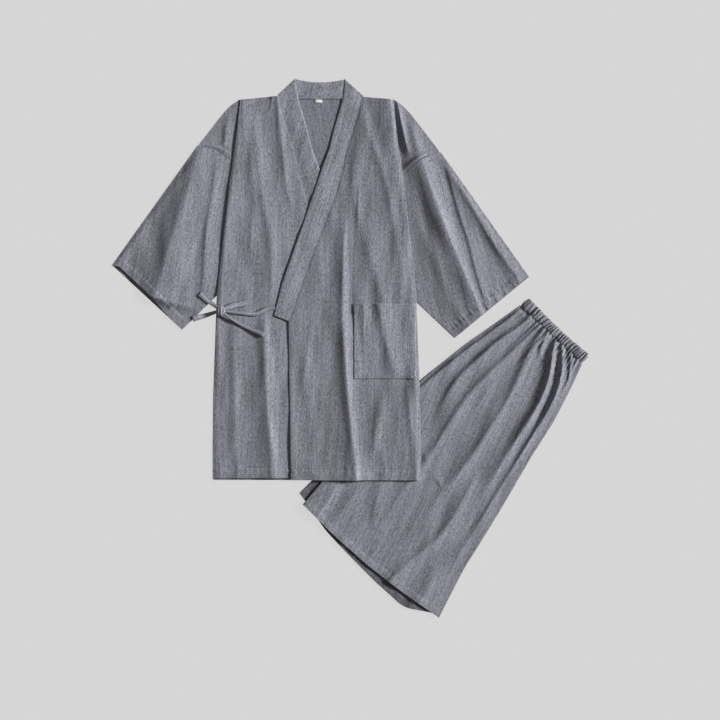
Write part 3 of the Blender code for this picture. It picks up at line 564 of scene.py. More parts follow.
# Heights of the body's rows: 3 mm apart, and 2 mm apart by the hem
heights = np.concatenate((np.linspace(0, 0.030, 16), np.linspace(0.033, SHOULDER, 250)))
side_table = np.array(SIDE)
fold_out, tuck_in = (np.interp(heights, side_table[:, 0], side_table[:, k]) for k in (1, 2))
for _ in range(6):
    fold_out[1:-1] = (fold_out[:-2] + 2 * fold_out[1:-1] + fold_out[2:]) / 4
    tuck_in[1:-1] = (tuck_in[:-2] + 2 * tuck_in[1:-1] + tuck_in[2:]) / 4

arm_table = {side: np.array(rows + SHOULDER_OUTLINE) for side, rows in ARM_SEAM.items()}
arm_out = {side: np.interp(heights, rows[:, 0], rows[:, 1]) for side, rows in arm_table.items()}
f = np.linspace(0, 1, 85)[None, :]
left, right = (np.where(heights > UNDERARM, arm_out[side], fold_out - EDGE_TURN)[:, None]
               for side in (-1, 1))
across = -left * (1 - f) + right * f
height = heights[:, None] + 0 * f
height = height + (shoulder_line(across) - SHOULDER) * np.clip((height - 0.70) / 0.079, 0, 1) * 0.5
x, y = in_jacket(across, height)
z = heap.lay(x, y, ease=160) + CLOTH + np.maximum(crumple(x, y, BODY_GRAIN, 0.0003, 21), 0)
points = np.stack((x, y, z), -1)
INSIDE_COLOUR = (0.205, 0.208, 0.242)
inside_cotton = slub_cotton("slub_cotton_inside", INSIDE_COLOUR)
back = sheet_mesh("jacket_back", points, grain_places(points, 98), inside_cotton)
heap.add(points)
back_top = points[..., 2].mean()
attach(back, "root")
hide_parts("jacket_back")

# ---------------------------------------------------------------- jacket: sleeves
# Straight tubes of the cotton, sewn to the armhole below a dropped shoulder and pressed flat. The
# cuff is turned in and stitched, and a broad soft fold runs down each sleeve.
CUFF = {-1: ((-0.418, 0.439), (-0.277, 0.309)),
        1: ((0.434, 0.415), (0.284, 0.292))}
SLEEVE_GRAIN = {-1: 80, 1: 106}
SLEEVE_CREASES = {
    -1: (
        ((0.030, 0.048), (0.045, 0.080), ((-0.243, 0.682, 0.0030), (-0.250, 0.640, 0.0075),
         (-0.2636, 0.594, 0.0115), (-0.288, 0.512, 0.0135), (-0.310, 0.430, 0.0150),
         (-0.327, 0.375, 0.0140))),
        (0.010, 0.024, ((-0.204, 0.672, 0.0), (-0.206, 0.640, 0.0026), (-0.2105, 0.594, 0.0038),
         (-0.2247, 0.512, 0.0040), (-0.231, 0.430, 0.0034), (-0.234, 0.380, 0.0014))),
        (0.006, 0.020, ((-0.250, 0.672, 0.0005), (-0.300, 0.600, 0.0014), (-0.360, 0.515, 0.0014),
         (-0.412, 0.442, 0.0014))),
    ),
    1: (
        ((0.050, 0.064), (0.022, 0.013), ((0.198, 0.706, 0.0055), (0.208, 0.676, 0.0095),
         (0.2264, 0.615, 0.0140), (0.249, 0.553, 0.0150), (0.2735, 0.492, 0.0150),
         (0.298, 0.430, 0.0135), (0.325, 0.369, 0.0105), (0.346, 0.318, 0.0075))),
        (0.007, 0.030, ((0.262, 0.660, 0.0), (0.2735, 0.615, 0.0034), (0.290, 0.553, 0.0036),
         (0.311, 0.492, 0.0034), (0.325, 0.430, 0.0034), (0.345, 0.369, 0.0036), (0.358, 0.335, 0.0020))),
        (0.014, 0.016, ((0.262, 0.655, 0.0015), (0.286, 0.615, 0.0042), (0.323, 0.553, 0.0048),
         (0.3575, 0.492, 0.0050), (0.4000, 0.430, 0.0042), (0.417, 0.402, 0.0028))),
        (0.005, 0.006, ((0.352, 0.347, 0.0016), (0.336, 0.374, 0.0))),
        (0.005, 0.006, ((0.372, 0.364, 0.0016), (0.352, 0.396, 0.0))),
        (0.004, 0.006, ((0.390, 0.379, 0.0014), (0.374, 0.402, 0.0))),
        (0.004, 0.005, ((0.408, 0.394, 0.0012), (0.394, 0.414, 0.0))),
        (0.005, 0.006, ((0.312, 0.315, 0.0014), (0.300, 0.334, 0.0))),
    ),
}
CUFF_DEPTH = 0.020
SEAM_LEVEL = 0.0028       # height of the armhole seam off the table
SLEEVE_CRUMPLE = 0.00045
OPEN_CUFF = {-1: 0.008, 1: 0.002}     # how far the cuff's underside shows past its top


def sleeve(name, side):
    """A flattened tube from the armhole seam to the cuff, drawn down beside the body."""
    arm = np.array(ARM_SEAM[side])[::-1]
    seam = np.stack((side * arm[:, 1], arm[:, 0]), -1)
    gone = np.concatenate(([0], np.cumsum(np.linalg.norm(np.diff(seam, axis=0), axis=1))))
    outer, inner = np.array(CUFF[side])
    t = np.linspace(0, 1, 124)[:, None, None]

    def places(count):
        share = np.linspace(0, 1, count)
        start = np.stack([np.interp(share * gone[-1], gone, seam[:, k]) for k in (0, 1)], -1)
        end = outer + (inner - outer) * share[:, None]
        return share, start[None] * (1 - t) + end[None] * t

    share, cut = places(190)
    run = np.linalg.norm(cut[-1] - cut[0], axis=1)
    gape = OPEN_CUFF[side] * np.clip(share / 0.06, 0, 1) * np.clip((0.85 - share) / 0.35, 0, 1)
    reach = 1 - t[..., 0] ** 4 * (gape / run)[None]
    start = cut[:1]
    cut = start + (cut - start) * reach[..., None]
    across, height = cut[..., 0], cut[..., 1]
    x, y = in_jacket(across, height)
    to_cuff = (1 - t[..., 0]) * run[None]
    relief = (creases(across, height, SLEEVE_CREASES[side])
              + crumple(x, y, SLEEVE_GRAIN[side], SLEEVE_CRUMPLE, 30 + side)
              + hem_relief(to_cuff, share[None] * 0.2 + 0 * to_cuff, CUFF_DEPTH, side))
    high = SEAM_LEVEL + np.maximum(relief, 0)
    high = high * (1 - 0.35 * np.exp(-(share[None] * 0.4 / 0.010) ** 2))
    top = np.stack((x, y, high), -1)
    share, cut = places(24)
    x, y = in_jacket(cut[..., 0], cut[..., 1])
    under = np.stack((x, y, 0 * x), -1)
    rings = tube_rings(top, under)
    made = sheet_mesh(name, rings, grain_places(rings, SLEEVE_GRAIN[side]), body_cotton, wrap=True)
    heap.add(top)
    stitch_paths.append(inset(top, CUFF_DEPTH))
    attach(made, "root")
    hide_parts(name)


sleeve("right_sleeve", -1)
sleeve("left_sleeve", 1)

# ---------------------------------------------------------------- jacket: collar band, back neck
# One long strip of the cotton folded in half, sewn along the neck and down both front edges. This
# stretch lies behind the neck and folds over into the two sides at the shoulders.
COLLAR = (
    (0.326, -0.057, -0.091),
    (0.402, -0.031, -0.072),
    (0.465, -0.008, -0.050),
    (0.531, 0.017, -0.026),
    (0.580, 0.036, -0.010),
    (0.633, 0.051, 0.008),
    (0.677, 0.060, 0.025),
    (0.715, 0.073, 0.034),
    (0.750, 0.085, 0.044),
    (0.786, 0.095, 0.055),
)
NECK_MIDDLE = 0.008       # the two sides of the collar mirror each other about this line
COLLAR_CORNERS = ((-0.043, 0.821), (0.057, 0.820))
COLLAR_ROOTS = ((-0.079, 0.787), (0.095, 0.786))
BACK_NECK = 0.7810
NECK_SAG = 0.006
COLLAR_SLANT = 0.0125     # how much higher a cross-line of the band ends than it starts
COLLAR_END = 0.3242
COLLAR_LAP = 0.0012       # how far the band reaches over the cloth it is sewn to
BAND_COLUMNS = 17
BAND_GRAIN = 73


def lay_band(across, height, f, seed, seam_level, below, ease=60):
    """A stretch of the band, whose seam (f = 0) is at the level of the cloth it is sewn to.

    Its height is mixed from the seam's level to its own full one by exp(-(f / 0.30) ** 2).
    """
    x, y = in_jacket(across, height)
    rest = Heap()
    rest.top = below
    full = rest.lay(x, y, ease) + BAND + crumple(x, y, BAND_GRAIN, 0.0003, seed)
    full = full - 0.0006 * np.clip((f - 0.85) / 0.15, 0, 1) ** 2
    at_seam = np.exp(-(f / 0.30) ** 2)
    made = np.stack((x, y, full * (1 - at_seam) + (seam_level + 0.0003) * at_seam), -1)
    heap.add(made)
    return made


f = np.linspace(0, 1, BAND_COLUMNS)[None, :]
g = np.linspace(0, 1, 41)[:, None]
(left_x, left_y), (right_x, right_y) = COLLAR_ROOTS
(corner_x, corner_y), (far_x, far_y) = COLLAR_CORNERS
low_x = left_x * (1 - g) + right_x * g
low_y = BACK_NECK + (left_y - BACK_NECK) * np.exp(-(g / 0.08) ** 2) \
    + (right_y - BACK_NECK) * np.exp(-((1 - g) / 0.08) ** 2)
top_x = corner_x * (1 - g) + far_x * g
top_y = corner_y * (1 - g) + far_y * g - NECK_SAG * np.sin(np.pi * g)
neck_band = lay_band(low_x * (1 - f) + top_x * f, low_y * (1 - f) + top_y * f, f, 41,
                     back_top - 0.0001, heap.top.copy(), ease=20)

# ---------------------------------------------------------------- jacket: fronts and collar sides
# Two panels of the cotton, the left one lapped over the right, each with its side width tucked in
# behind it. The band is sewn down their edges, and each front is laid before its side of the band.
FRONT_EDGE_HEM = -0.052
PLACKET_LIFT = 0.0012
HEM_LIFT = 0.004          # how much higher the right front's hem ends
SIDE_DROP = 0.0010        # how far a front rounds off at its folded side
FRONT_CREASES = {
    -1: (
        (0.012, 0.012, ((-0.080, 0.786, 0.0036), (-0.077, 0.740, 0.0036), (-0.071, 0.690, 0.0028),
         (-0.066, 0.640, 0.0028), (-0.060, 0.590, 0.0020), (-0.046, 0.545, 0.0))),
        (0.005, 0.007, ((-0.091, 0.786, 0.0024), (-0.094, 0.750, 0.0))),
        (0.020, 0.022, ((-0.128, 0.730, 0.0), (-0.125, 0.690, 0.0022), (-0.113, 0.600, 0.0026),
         (-0.108, 0.560, 0.0028), (-0.096, 0.520, 0.0034), (-0.089, 0.440, 0.0038),
         (-0.091, 0.395, 0.0030), (-0.098, 0.350, 0.0))),
        (0.012, 0.014, ((-0.136, 0.720, 0.0), (-0.134, 0.650, 0.0014), (-0.127, 0.570, 0.0016),
         (-0.136, 0.480, 0.0014), (-0.140, 0.430, 0.0))),
        ((0.022, 0.034), (0.018, 0.016), ((-0.107, 0.350, 0.0), (-0.106, 0.290, 0.0080),
         (-0.103, 0.200, 0.0088), (-0.099, 0.130, 0.0090), (-0.091, 0.060, 0.0090),
         (-0.088, 0.0, 0.0085))),
        (0.014, 0.020, ((-0.172, 0.340, 0.0), (-0.170, 0.250, 0.0030), (-0.168, 0.150, 0.0030),
         (-0.165, 0.060, 0.0024), (-0.160, 0.0, 0.0020))),
        (0.007, 0.016, ((-0.154, 0.779, 0.0010), (-0.165, 0.680, 0.0022), (-0.181, 0.560, 0.0026),
         (-0.194, 0.440, 0.0026), (-0.202, 0.340, 0.0020), (-0.206, 0.200, 0.0014))),
    ),
    1: (
        (0.045, 0.010, ((0.150, 0.786, 0.0057), (0.156, 0.730, 0.0070), (0.158, 0.690, 0.0041),
         (0.160, 0.650, 0.0))),
        ((0.024, 0.014), 0.016, ((0.096, 0.755, 0.0022), (0.104, 0.715, 0.0032), (0.129, 0.656, 0.0036),
         (0.150, 0.574, 0.0024), (0.168, 0.471, 0.0016), (0.184, 0.400, 0.0009), (0.197, 0.300, 0.0))),
        (0.024, 0.030, ((0.085, 0.715, 0.0), (0.076, 0.640, 0.0032), (0.079, 0.574, 0.0038),
         (0.105, 0.471, 0.0036), (0.130, 0.389, 0.0040), (0.138, 0.350, 0.0024), (0.142, 0.310, 0.0))),
        (0.005, 0.008, ((0.088, 0.620, 0.0), (0.085, 0.560, 0.0016), (0.083, 0.500, 0.0))),
        ((0.014, 0.034), (0.010, 0.010), ((0.058, 0.545, 0.0), (0.056, 0.500, 0.0045),
         (0.055, 0.400, 0.0064), (0.054, 0.350, 0.0068), (0.056, 0.300, 0.0072),
         (0.059, 0.250, 0.0080), (0.0625, 0.200, 0.0090), (0.067, 0.150, 0.0094),
         (0.0735, 0.090, 0.0094), (0.079, 0.045, 0.0090), (0.083, 0.0, 0.0088))),
        (0.026, 0.014, ((0.140, 0.185, 0.0), (0.132, 0.150, 0.0026), (0.124, 0.110, 0.0034),
         (0.116, 0.070, 0.0034), (0.110, 0.035, 0.0))),
        (0.008, 0.008, ((0.122, 0.062, 0.0), (0.121, 0.030, -0.0030), (0.118, 0.0, -0.0035))),
        (0.010, 0.016, ((-0.010, 0.340, 0.0), (-0.014, 0.300, 0.0019), (-0.026, 0.210, 0.0019),
         (-0.032, 0.170, 0.0))),
        (0.010, 0.010, ((0.184, 0.205, 0.0), (0.189, 0.160, 0.0022), (0.194, 0.100, 0.0022),
         (0.197, 0.050, 0.0))),
        (0.018, 0.009, ((0.199, 0.330, 0.0014), (0.202, 0.200, 0.0022), (0.205, 0.0, 0.0022))),
    ),
}
SHOULDER_CREASES = {
    -1: (
        (0.010, 0.010, ((-0.180, 0.750, 0.0), (-0.185, 0.715, 0.0033), (-0.190, 0.670, 0.0030))),
        (0.012, 0.012, ((-0.215, 0.705, 0.0), (-0.214, 0.690, 0.0030), (-0.208, 0.660, 0.0030))),
    ),
    1: (
        (0.006, 0.008, ((0.163, 0.778, 0.0030), (0.1715, 0.740, 0.0066), (0.180, 0.700, 0.0070),
         (0.187, 0.672, 0.0035))),
        ((0.014, 0.038), 0.022, ((0.193, 0.738, 0.0), (0.200, 0.706, 0.0060), (0.208, 0.676, 0.0085),
         (0.215, 0.655, 0.0090))),
    ),
}
FACE_COLUMNS = 96
SEAM_LAP = 0.0022         # how far the shoulder cloth reaches down over the sleeve
SIDE_HEM_DEPTH = 0.0195
SEAM_GROOVE = 0.0009      # how far the cloth dips beside the collar
SEAM_TIP = 0.697          # the armhole seam lies flush up to a little below this height


def inner_edge(height, mirrored):
    """Across of a front's inner edge: the collar seam, and the front edge below the collar."""
    table = np.array(((0.0, FRONT_EDGE_HEM, 0.0),) + COLLAR)
    across = np.interp(height, table[:, 0], table[:, 1])
    return 2 * NECK_MIDDLE - across if mirrored else across


def front(name, side, seed):
    """One front: its face, the folded side edge, the tuck behind it and the shoulder cloth that
    comes out from under the tuck to the armhole seam. Below the underarm it ends in the tuck."""
    up = heights[:, None]
    out_edge, inside = (fold_out - EDGE_TURN)[:, None], (fold_out - tuck_in)[:, None]
    seam_end = arm_table[side][len(ARM_SEAM[side]) - 1, 0]
    lap = SEAM_LAP * np.clip((seam_end - heights) / 0.010, 0, 1)
    lapped = np.interp(heights - lap, arm_table[side][:, 0], arm_table[side][:, 1])
    arm_edge = np.where(heights > UNDERARM, lapped + lap / 2, fold_out - 0.008)[:, None]

    f = np.linspace(0, 1, 44)[None, :]
    reach = (inside + EDGE_TURN) * (1 - f) + arm_edge * f
    x, y = in_jacket(side * reach, up + 0 * f)
    shown = np.clip((reach - fold_out[:, None]) / 0.010, 0, 1)
    rise = creases(side * reach, up + 0 * f, SHOULDER_CREASES[side]) * shown
    z = heap.lay(x, y, ease=20) + CLOTH + rise
    on_sleeve = (creases(side * reach, up + 0 * f, SLEEVE_CREASES[side])
                 + crumple(x, y, SLEEVE_GRAIN[side], SLEEVE_CRUMPLE, 30 + side))
    sleeve_top = SEAM_LEVEL + 0.0001 + np.maximum(on_sleeve, 0)
    below_tip = np.clip((SEAM_TIP - up) / 0.012, 0, 1)
    at_seam = np.exp(-((arm_edge - reach) / 0.016) ** 2) * below_tip
    third = np.stack((x, y, z * (1 - at_seam) + sleeve_top * at_seam), -1)
    arm_rows = heights > UNDERARM
    heap.add(third[arm_rows])

    f = np.linspace(0, 1, 14)[None, :]
    x, y = in_jacket(side * (out_edge * (1 - f) + (inside + EDGE_TURN) * f), up + 0 * f)
    second = np.stack((x, y, heap.lay(x, y, ease=20)), -1)
    heap.add(second + np.array((0, 0, CLOTH)))

    edge = inner_edge(np.minimum(heights, 0.786), side < 0)[:, None]
    f = np.linspace(0, 1, FACE_COLUMNS)[None, :]
    across = edge * (1 - f) + side * out_edge * f
    height = up + (shoulder_line(across) - SHOULDER) * np.clip((up - 0.70) / 0.079, 0, 1)
    hem_up = HEM_LIFT if side < 0 else 0.0
    height = height + hem_up * np.clip(1 - up / 0.05, 0, 1)
    x, y = in_jacket(across, height)
    placket = np.clip((0.345 - up) / 0.02, 0, 1) * np.exp(-((across - edge) / 0.012) ** 2)
    relief = (creases(across, height, FRONT_CREASES[side]) + crumple(x, y, BODY_GRAIN, 0.0004, seed)
              + hem_relief(height - hem_up, across, SIDE_HEM_DEPTH, seed) + PLACKET_LIFT * placket)
    side_drop = (-SIDE_DROP * np.exp(-((side * out_edge - across) / 0.004) ** 2)
                 - SEAM_GROOVE * np.exp(-((across - edge) / 0.0035) ** 2))
    first = np.stack((x, y, heap.lay(x, y, ease=260) + CLOTH + np.maximum(relief + 0.0004, 0)
                      + side_drop), -1)
    heap.add(first)

    fold = round_edge(first[:, -1], second[:, 0], first[:, -3])
    tuck = round_edge(second[:, -1], third[:, 0], second[:, -3])
    points = np.concatenate((first, fold, second, tuck, third), axis=1)
    keep = np.ones((len(heights) - 1, points.shape[1] - 1), bool)
    keep[heights[1:] <= UNDERARM, FACE_COLUMNS + fold.shape[1] + second.shape[1]:] = False
    made = sheet_mesh(name, points, grain_places(points, BODY_GRAIN), body_cotton, keep=keep)
    stitch_paths.append(inset(first[::-1], SIDE_HEM_DEPTH))
    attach(made, "root")
    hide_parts(name)
    return first


def collar_side(mirrored, seed, below, face):
    """One side of the band, from the shoulder down to its end. Its cross-lines slant up by
    COLLAR_SLANT from the seam to the free edge. It rests on what lay there before its own front,
    and meets that front's edge flush at the seam."""
    table = np.array(COLLAR)
    f = np.linspace(0, 1, BAND_COLUMNS)[None, :]
    at_seam = np.linspace(COLLAR_END, 0.770, 180)[::-1, None]
    corner, root = COLLAR_CORNERS[1], COLLAR_ROOTS[1]
    height = at_seam + COLLAR_SLANT * f
    seam, edge = (np.interp(height, table[:, 0], table[:, k]) for k in (1, 2))
    seam = seam + COLLAR_LAP
    if mirrored:
        seam, edge = 2 * NECK_MIDDLE - seam, 2 * NECK_MIDDLE - edge
        corner, root = COLLAR_CORNERS[0], COLLAR_ROOTS[0]
    across = seam * (1 - f) + edge * f
    t = np.linspace(0, 1, 12, endpoint=False)[:, None]
    across = np.concatenate(((root[0] * (1 - f) + corner[0] * f) * (1 - t) + across[:1] * t, across))
    height = np.concatenate(((root[1] * (1 - f) + corner[1] * f) * (1 - t) + height[:1] * t, height))
    seam_level = np.interp(height[:, 0], heights, face[:, 0, 2])[:, None]
    return lay_band(across, height, f, seed, seam_level, below)


below = heap.top.copy()
right_band = collar_side(True, 42, below, front("right_front", -1, 51))
below = heap.top.copy()
left_band = collar_side(False, 43, below, front("left_front", 1, 52))

bend_a = np.transpose(round_edge(right_band[0], neck_band[0], right_band[4]), (1, 0, 2))
bend_b = np.transpose(round_edge(left_band[0], neck_band[-1], left_band[4]), (1, 0, 2))
points = np.concatenate((left_band[::-1], bend_b, neck_band[::-1], bend_a[::-1], right_band))
seam_side = np.zeros(points.shape[:2], bool)
seam_side[:, 0] = True
collar = sheet_mesh("collar", points, grain_places(points, BAND_GRAIN), band_cotton, cut=seam_side,
                    thick=0.0012)
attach(collar, "root")
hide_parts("collar")

# ---------------------------------------------------------------- jacket: patch pocket
# An upright patch of the cotton on the left front, sewn down at its sides and bottom. Its mouth is
# a doubled hem that stands a little open.
POCKET_CREASES = (
    (0.022, 0.026, ((0.126, 0.362, 0.0042), (0.132, 0.320, 0.0042), (0.146, 0.275, 0.0045),
     (0.160, 0.220, 0.0039), (0.163, 0.206, 0.0028))),
    (0.012, 0.010, ((0.096, 0.362, 0.0022), (0.097, 0.300, 0.0017), (0.100, 0.250, 0.0))),
)
f = np.linspace(0, 1, 56)[None, :]
g = np.linspace(0, 1, 66)[:, None]
across = POCKET_LEFT * (1 - f) + POCKET_RIGHT * f + 0 * g
height = POCKET_BOTTOM * (1 - g) + POCKET_TOP * g + 0 * f
x, y = in_jacket(across, height)
from_edge = np.minimum(np.minimum(f, 1 - f) * POCKET_SIZE[0], g * POCKET_SIZE[1])
relief = (creases(across, height, POCKET_CREASES) * np.clip(from_edge / 0.02, 0, 1)
          + hem_relief((1 - g) * POCKET_SIZE[1] + 0 * f, across, 0.022, 5)
          + crumple(x, y, BODY_GRAIN, 0.0003, 61))
relief += MOUTH_LIFT * np.sin(np.pi * f) ** 0.5 * np.clip((g - 0.80) / 0.2, 0, 1) ** 2
z = heap.lay(x, y, ease=10) + CLOTH + np.maximum(relief, 0) - 0.0007 * np.exp(-(from_edge / 0.003) ** 2)
points = np.stack((x, y, z), -1)
pocket = sheet_mesh("pocket", points, grain_places(points, BODY_GRAIN), band_cotton,
                    cut=np.zeros(points.shape[:2], bool))
heap.add(points)
stitch_paths += [points[1:, 1], points[1:, -4], points[1, 1:-3], points[-10, 1:-3], points[-1, 1:-1]]
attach(pocket, "root")
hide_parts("pocket")

# ---------------------------------------------------------------- jacket: bare neck label
# A small tab of white woven tape, with one end caught in the neck seam and nothing on it. The
# neck facing is held by a short slanting row of stitches beside it.
LABEL_ACROSS, LABEL_HEIGHT = 0.005, 0.7795
LABEL_WIDTH, LABEL_LENGTH = 0.014, 0.006
f = np.linspace(-0.5, 0.5, 9)[None, :]
g = np.linspace(0, 1, 5)[:, None]
x, y = in_jacket(LABEL_ACROSS + LABEL_WIDTH * f + 0 * g, LABEL_HEIGHT - LABEL_LENGTH * g + 0 * f)
z = heap.lay(x, y, ease=0) + 0.0006 + 0.0006 * g * np.cos(np.pi * f)
points = np.stack((x, y, z), -1)
NECK_STITCH = ((0.004, 0.771), (-0.020, 0.744))      # a slanting row that holds the neck facing
across, height = (np.linspace(a, b, 30) for a, b in zip(*NECK_STITCH))
x_row, y_row = in_jacket(across, height)
stitch_paths += [np.stack((x_row, y_row, heap.top[heap.cells(x_row, y_row)] + 0.0002), -1),
                 neck_band[2:-2, 0] + np.array((0, 0.0012, 0.0004))]


def plain_finish(name, colour, roughness):
    """A finish of one colour all over, and its shader's sockets."""
    made = bpy.data.materials.new(name)
    made.use_nodes = True
    sockets = made.node_tree.nodes["Principled BSDF"].inputs
    sockets["Base Color"].default_value = colour
    sockets["Roughness"].default_value = roughness
    return made, sockets


label_tape, _ = plain_finish("label_tape", (0.85, 0.85, 0.84, 1.0), 0.7)
label = sheet_mesh("neck_label", points, grain_places(points, 90), label_tape, thick=0.0004)
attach(label, "root")
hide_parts("neck_label")

# ---------------------------------------------------------------- jacket: ties and bow
# Flat straps of the cotton, folded in four and stitched, sewn to the collar's end and to the side.
# They are tied in a bow with two loops and two free ends, held by one turn of the strap.
TIE_WIDTH = 0.011
STRAP_COLUMNS = 7
# lighter than the cloth as a painted highlight on the straps, with painted shade at their rims
TIE_HIGHLIT_COLOUR = (0.278, 0.281, 0.323)
tie_cotton = slub_cotton("slub_cotton_tie", TIE_HIGHLIT_COLOUR, contrast=0.8, rim=TIE_WIDTH / 2)
KNOT = (-0.195, 0.347)
KNOT_SIZE = (0.017, 0.019, 0.006)
COLLAR_TIE = ((-0.085, 0.354), (-0.103, 0.350), (-0.123, 0.339), (-0.146, 0.341), (-0.190, 0.346))
BOW = {
    "bow_left_tail": ((-0.198, 0.350), (-0.224, 0.368), (-0.238, 0.382)),
    "bow_right_tail": ((-0.190, 0.350), (-0.165, 0.359), (-0.143, 0.363)),
    "bow_left_loop": ((-0.200, 0.346), (-0.228, 0.337), (-0.251, 0.331)),
    "bow_right_loop": ((-0.192, 0.343), (-0.160, 0.321), (-0.134, 0.309), (-0.109, 0.299)),
}
BOW_WIDTHS = {"bow_left_tail": (0.006, 0.010, 0.012), "bow_right_tail": (0.008, 0.013, 0.014),
              "bow_left_loop": (0.006, 0.009, 0.012), "bow_right_loop": (0.006, 0.006, 0.008, 0.011)}
STRAP, LOOP_STRAP = 0.0014, 0.0010     # walls of a single strap and of a loop's two layers
TAIL_LIFT = {"bow_left_tail": 0.0015, "bow_right_tail": 0.0030}
LOOP_RISE = 0.0014        # from a loop's underside to its top layer by the knot
LOOP_OPEN = {"bow_left_loop": 0.0002, "bow_right_loop": 0.0012}     # how much more it opens


def strap(route, widths, steps):
    """Places on a strap along a route: across from -0.5 to 0.5 of its width."""
    route = np.array(route)
    t = np.linspace(0, len(route) - 1, steps)
    centre = np.stack([np.interp(t, np.arange(len(route)), route[:, k]) for k in (0, 1)], -1)
    for _ in range(steps // 2):
        centre[1:-1] = (centre[:-2] + 2 * centre[1:-1] + centre[2:]) / 4
    run = np.gradient(centre, axis=0)
    run /= np.linalg.norm(run, axis=1, keepdims=True)
    aside = np.stack((-run[:, 1], run[:, 0]), -1)
    width = np.interp(np.linspace(0, 1, steps), np.linspace(0, 1, len(widths)), widths)
    f = np.linspace(-0.5, 0.5, STRAP_COLUMNS)
    points = centre[:, None] + aside[:, None] * f[None, :, None] * width[:, None, None]
    gone = np.concatenate(([0], np.cumsum(np.linalg.norm(np.diff(centre, axis=0), axis=1))))
    places = np.stack(np.broadcast_arrays(f[None, :] * TIE_WIDTH, gone[:, None]), -1)
    x, y = in_jacket(points[..., 0], points[..., 1])
    return x, y, places, f[None, :]


def tie_piece(name, points, places, top, thick):
    """Make one strap from a grid of points, and lay its top on the heap."""
    made = sheet_mesh(name, points, places, tie_cotton, thick=thick)
    heap.add(top)
    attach(made, "root")
    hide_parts(name)


x, y, places, f = strap(COLLAR_TIE, (0.011, 0.010, 0.009, 0.007, 0.006), 56)
z = heap.lay(x, y, ease=20) + 0.0026 + 0.0012 * np.cos(np.pi * f)
points = np.stack((x, y, z), -1)
tie_piece("collar_tie", points, places, points, STRAP)
for name, route in BOW.items():
    if name.endswith("tail"):
        x, y, places, f = strap(route, BOW_WIDTHS[name], 30)
        z = heap.lay(x, y, ease=60) + TAIL_LIFT[name] + 0.0008 * np.cos(np.pi * f)
        points = np.stack((x, y, z), -1)
        tie_piece(name, points, places, points, STRAP)
    else:
        x, y, places, f = strap(route, BOW_WIDTHS[name], 36)
        s = np.linspace(0, 1, len(x))[:, None]
        low = heap.lay(x, y, ease=160)
        high = low + LOOP_RISE + LOOP_OPEN[name] * (1 + s ** 0.7) / 2 + 0.0009 * np.cos(np.pi * f)
        top = np.stack((x, y, high), -1)
        under = np.stack((x, y, low), -1)
        tip = np.transpose(round_edge(top[-1], under[-1], top[-4], turn=0.003), (1, 0, 2))
        points = np.concatenate((top, tip, under[::-1]))
        spots = np.concatenate((places, np.repeat(places[-1:], len(tip), 0), places[::-1]))
        tie_piece(name, points, spots, top, LOOP_STRAP)

angle = np.linspace(0, 2 * np.pi, 48, endpoint=False)[None, :]
level = np.linspace(0, np.pi / 2, 14)[:, None]
wrap_wave = 1 + 0.07 * np.cos(5 * angle + 0.8) * np.cos(level)
across = KNOT[0] + KNOT_SIZE[0] / 2 * np.cos(level) ** 0.6 * np.cos(angle) * wrap_wave
height = KNOT[1] + KNOT_SIZE[1] / 2 * np.cos(level) ** 0.6 * np.sin(angle) * wrap_wave
x, y = in_jacket(across, height)
base = heap.lay(x, y, ease=0).max() - 0.003
wraps = 0.0007 * np.cos(2 * np.pi * (across - KNOT[0]) / 0.0058) * np.sin(level)
z = base + KNOT_SIZE[2] * np.sin(level) ** 0.8 + wraps
points = np.stack((x, y, z), -1)
points[-1] = points[-1].mean(axis=0)
knot = sheet_mesh("bow_knot", points, grain_places(points, 90), band_cotton, wrap=True, thick=0.0010)
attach(knot, "root")
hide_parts("bow_knot")

# ---------------------------------------------------------------- stitching
# A pale sewing thread in rows of short stitches along the hems, the cuffs, the pocket and the
# neck, half sunk into the cloth.
STITCH = (0.0033, 0.0009, 0.0005)     # length, width and height of one stitch
STITCH_PITCH = 0.0036


def stitch_mesh(name, paths):
    """Rows of short threads. Each is a lozenge of six corners lying along its path."""
    corners = np.array(((-0.5, 0, 0), (0, 0.5, 0), (0.5, 0, 0), (0, -0.5, 0), (0, 0, 1), (0, 0, -1)))
    sides = np.array(((0, 1, 4), (1, 2, 4), (2, 3, 4), (3, 0, 4), (1, 0, 5), (2, 1, 5), (3, 2, 5), (0, 3, 5)))
    centres, runs = [], []
    for path in paths:
        gone = np.concatenate(([0], np.cumsum(np.linalg.norm(np.diff(path, axis=0), axis=1))))
        s = np.arange(STITCH_PITCH / 2, gone[-1], STITCH_PITCH)
        a = np.stack([np.interp(s - STITCH[0] / 2, gone, path[:, k]) for k in range(3)], -1)
        b = np.stack([np.interp(s + STITCH[0] / 2, gone, path[:, k]) for k in range(3)], -1)
        centres.append((a + b) / 2)
        runs.append(b - a)
    centre, run = np.concatenate(centres), np.concatenate(runs)
    run /= np.linalg.norm(run, axis=1, keepdims=True)
    aside = np.cross((0, 0, 1.0), run)
    aside /= np.linalg.norm(aside, axis=1, keepdims=True)
    up = np.cross(run, aside)
    size = np.array(STITCH)
    points = centre[:, None] + sum(corners[None, :, k:k + 1] * size[k] * axis[:, None]
                                   for k, axis in enumerate((run, aside, up)))
    faces = sides[None] + 6 * np.arange(len(centre))[:, None, None]
    mesh = bpy.data.meshes.new(name)
    mesh.from_pydata(points.reshape(-1, 3).tolist(), [], faces.reshape(-1, 3).tolist())
    made = bpy.data.objects.new(name, mesh)
    bpy.context.scene.collection.objects.link(made)
    return made


thread, _ = plain_finish("thread", (0.47, 0.47, 0.51, 1.0), 0.8)
stitches = stitch_mesh("stitching", stitch_paths)
stitches.data.materials.append(thread)
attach(stitches, "root")

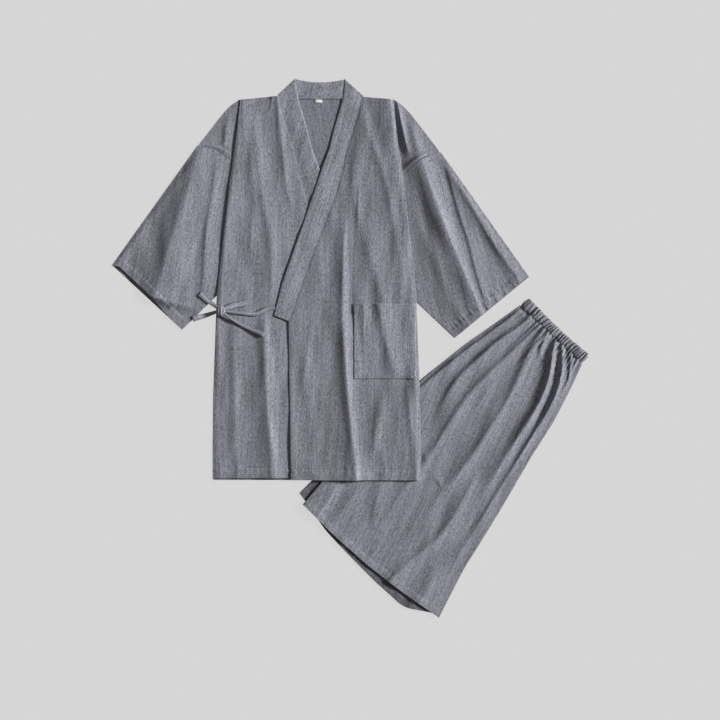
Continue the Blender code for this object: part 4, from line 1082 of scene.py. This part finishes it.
# ---------------------------------------------------------------- floor, light and camera
# A wide pale floor under the cloth, one low soft light from the wearer's left, and a weak even
# light from all round. The camera looks straight down from about four metres.
FLOOR_SIZE = 12.0
FLOOR_COLOUR = (0.045, 0.045, 0.045, 1.0)
FLOOR_GLOW = 0.635        # the pale floor is lit from below as well, so that shadows on it are faint
floor_mesh = bpy.data.meshes.new("floor")
h = FLOOR_SIZE / 2
floor_mesh.from_pydata([(-h, -h, 0), (h, -h, 0), (h, h, 0), (-h, h, 0)], [], [(0, 1, 2, 3)])
floor = bpy.data.objects.new("floor", floor_mesh)
bpy.context.scene.collection.objects.link(floor)
paint, sockets = plain_finish("floor_paint", FLOOR_COLOUR, 1.0)
sockets["Specular IOR Level"].default_value = 0.0
sockets["Emission Color"].default_value = (1, 1, 1, 1)
sockets["Emission Strength"].default_value = FLOOR_GLOW
floor_mesh.materials.append(paint)

SUN_ELEVATION = np.radians(25)
SUN_AZIMUTH = np.radians(14)
SUN_POWER = 5.2
SUN_WIDTH = np.radians(10)
SKY_POWER = 0.15
sun_data = bpy.data.lights.new("window", "SUN")
sun_data.energy = SUN_POWER
sun_data.angle = SUN_WIDTH
sun = bpy.data.objects.new("window", sun_data)
sun.rotation_euler = (0, np.pi / 2 - SUN_ELEVATION, SUN_AZIMUTH)
bpy.context.scene.collection.objects.link(sun)
world = bpy.data.worlds.new("studio")
world.use_nodes = True
world.node_tree.nodes["Background"].inputs["Color"].default_value = (1, 1, 1, 1)
world.node_tree.nodes["Background"].inputs["Strength"].default_value = SKY_POWER
bpy.context.scene.world = world

CAMERA_AIM = (0.0185, -0.0254)
CAMERA_HEIGHT = 4.10
CAMERA_LENS, CAMERA_SENSOR = 100, 36     # millimetres
camera_data = bpy.data.cameras.new("camera")
camera_data.lens = CAMERA_LENS
camera_data.sensor_width = CAMERA_SENSOR
camera = bpy.data.objects.new("camera", camera_data)
camera.location = (*CAMERA_AIM, CAMERA_HEIGHT)
bpy.context.scene.collection.objects.link(camera)
bpy.context.scene.camera = camera
bpy.context.scene.view_settings.view_transform = "Standard"
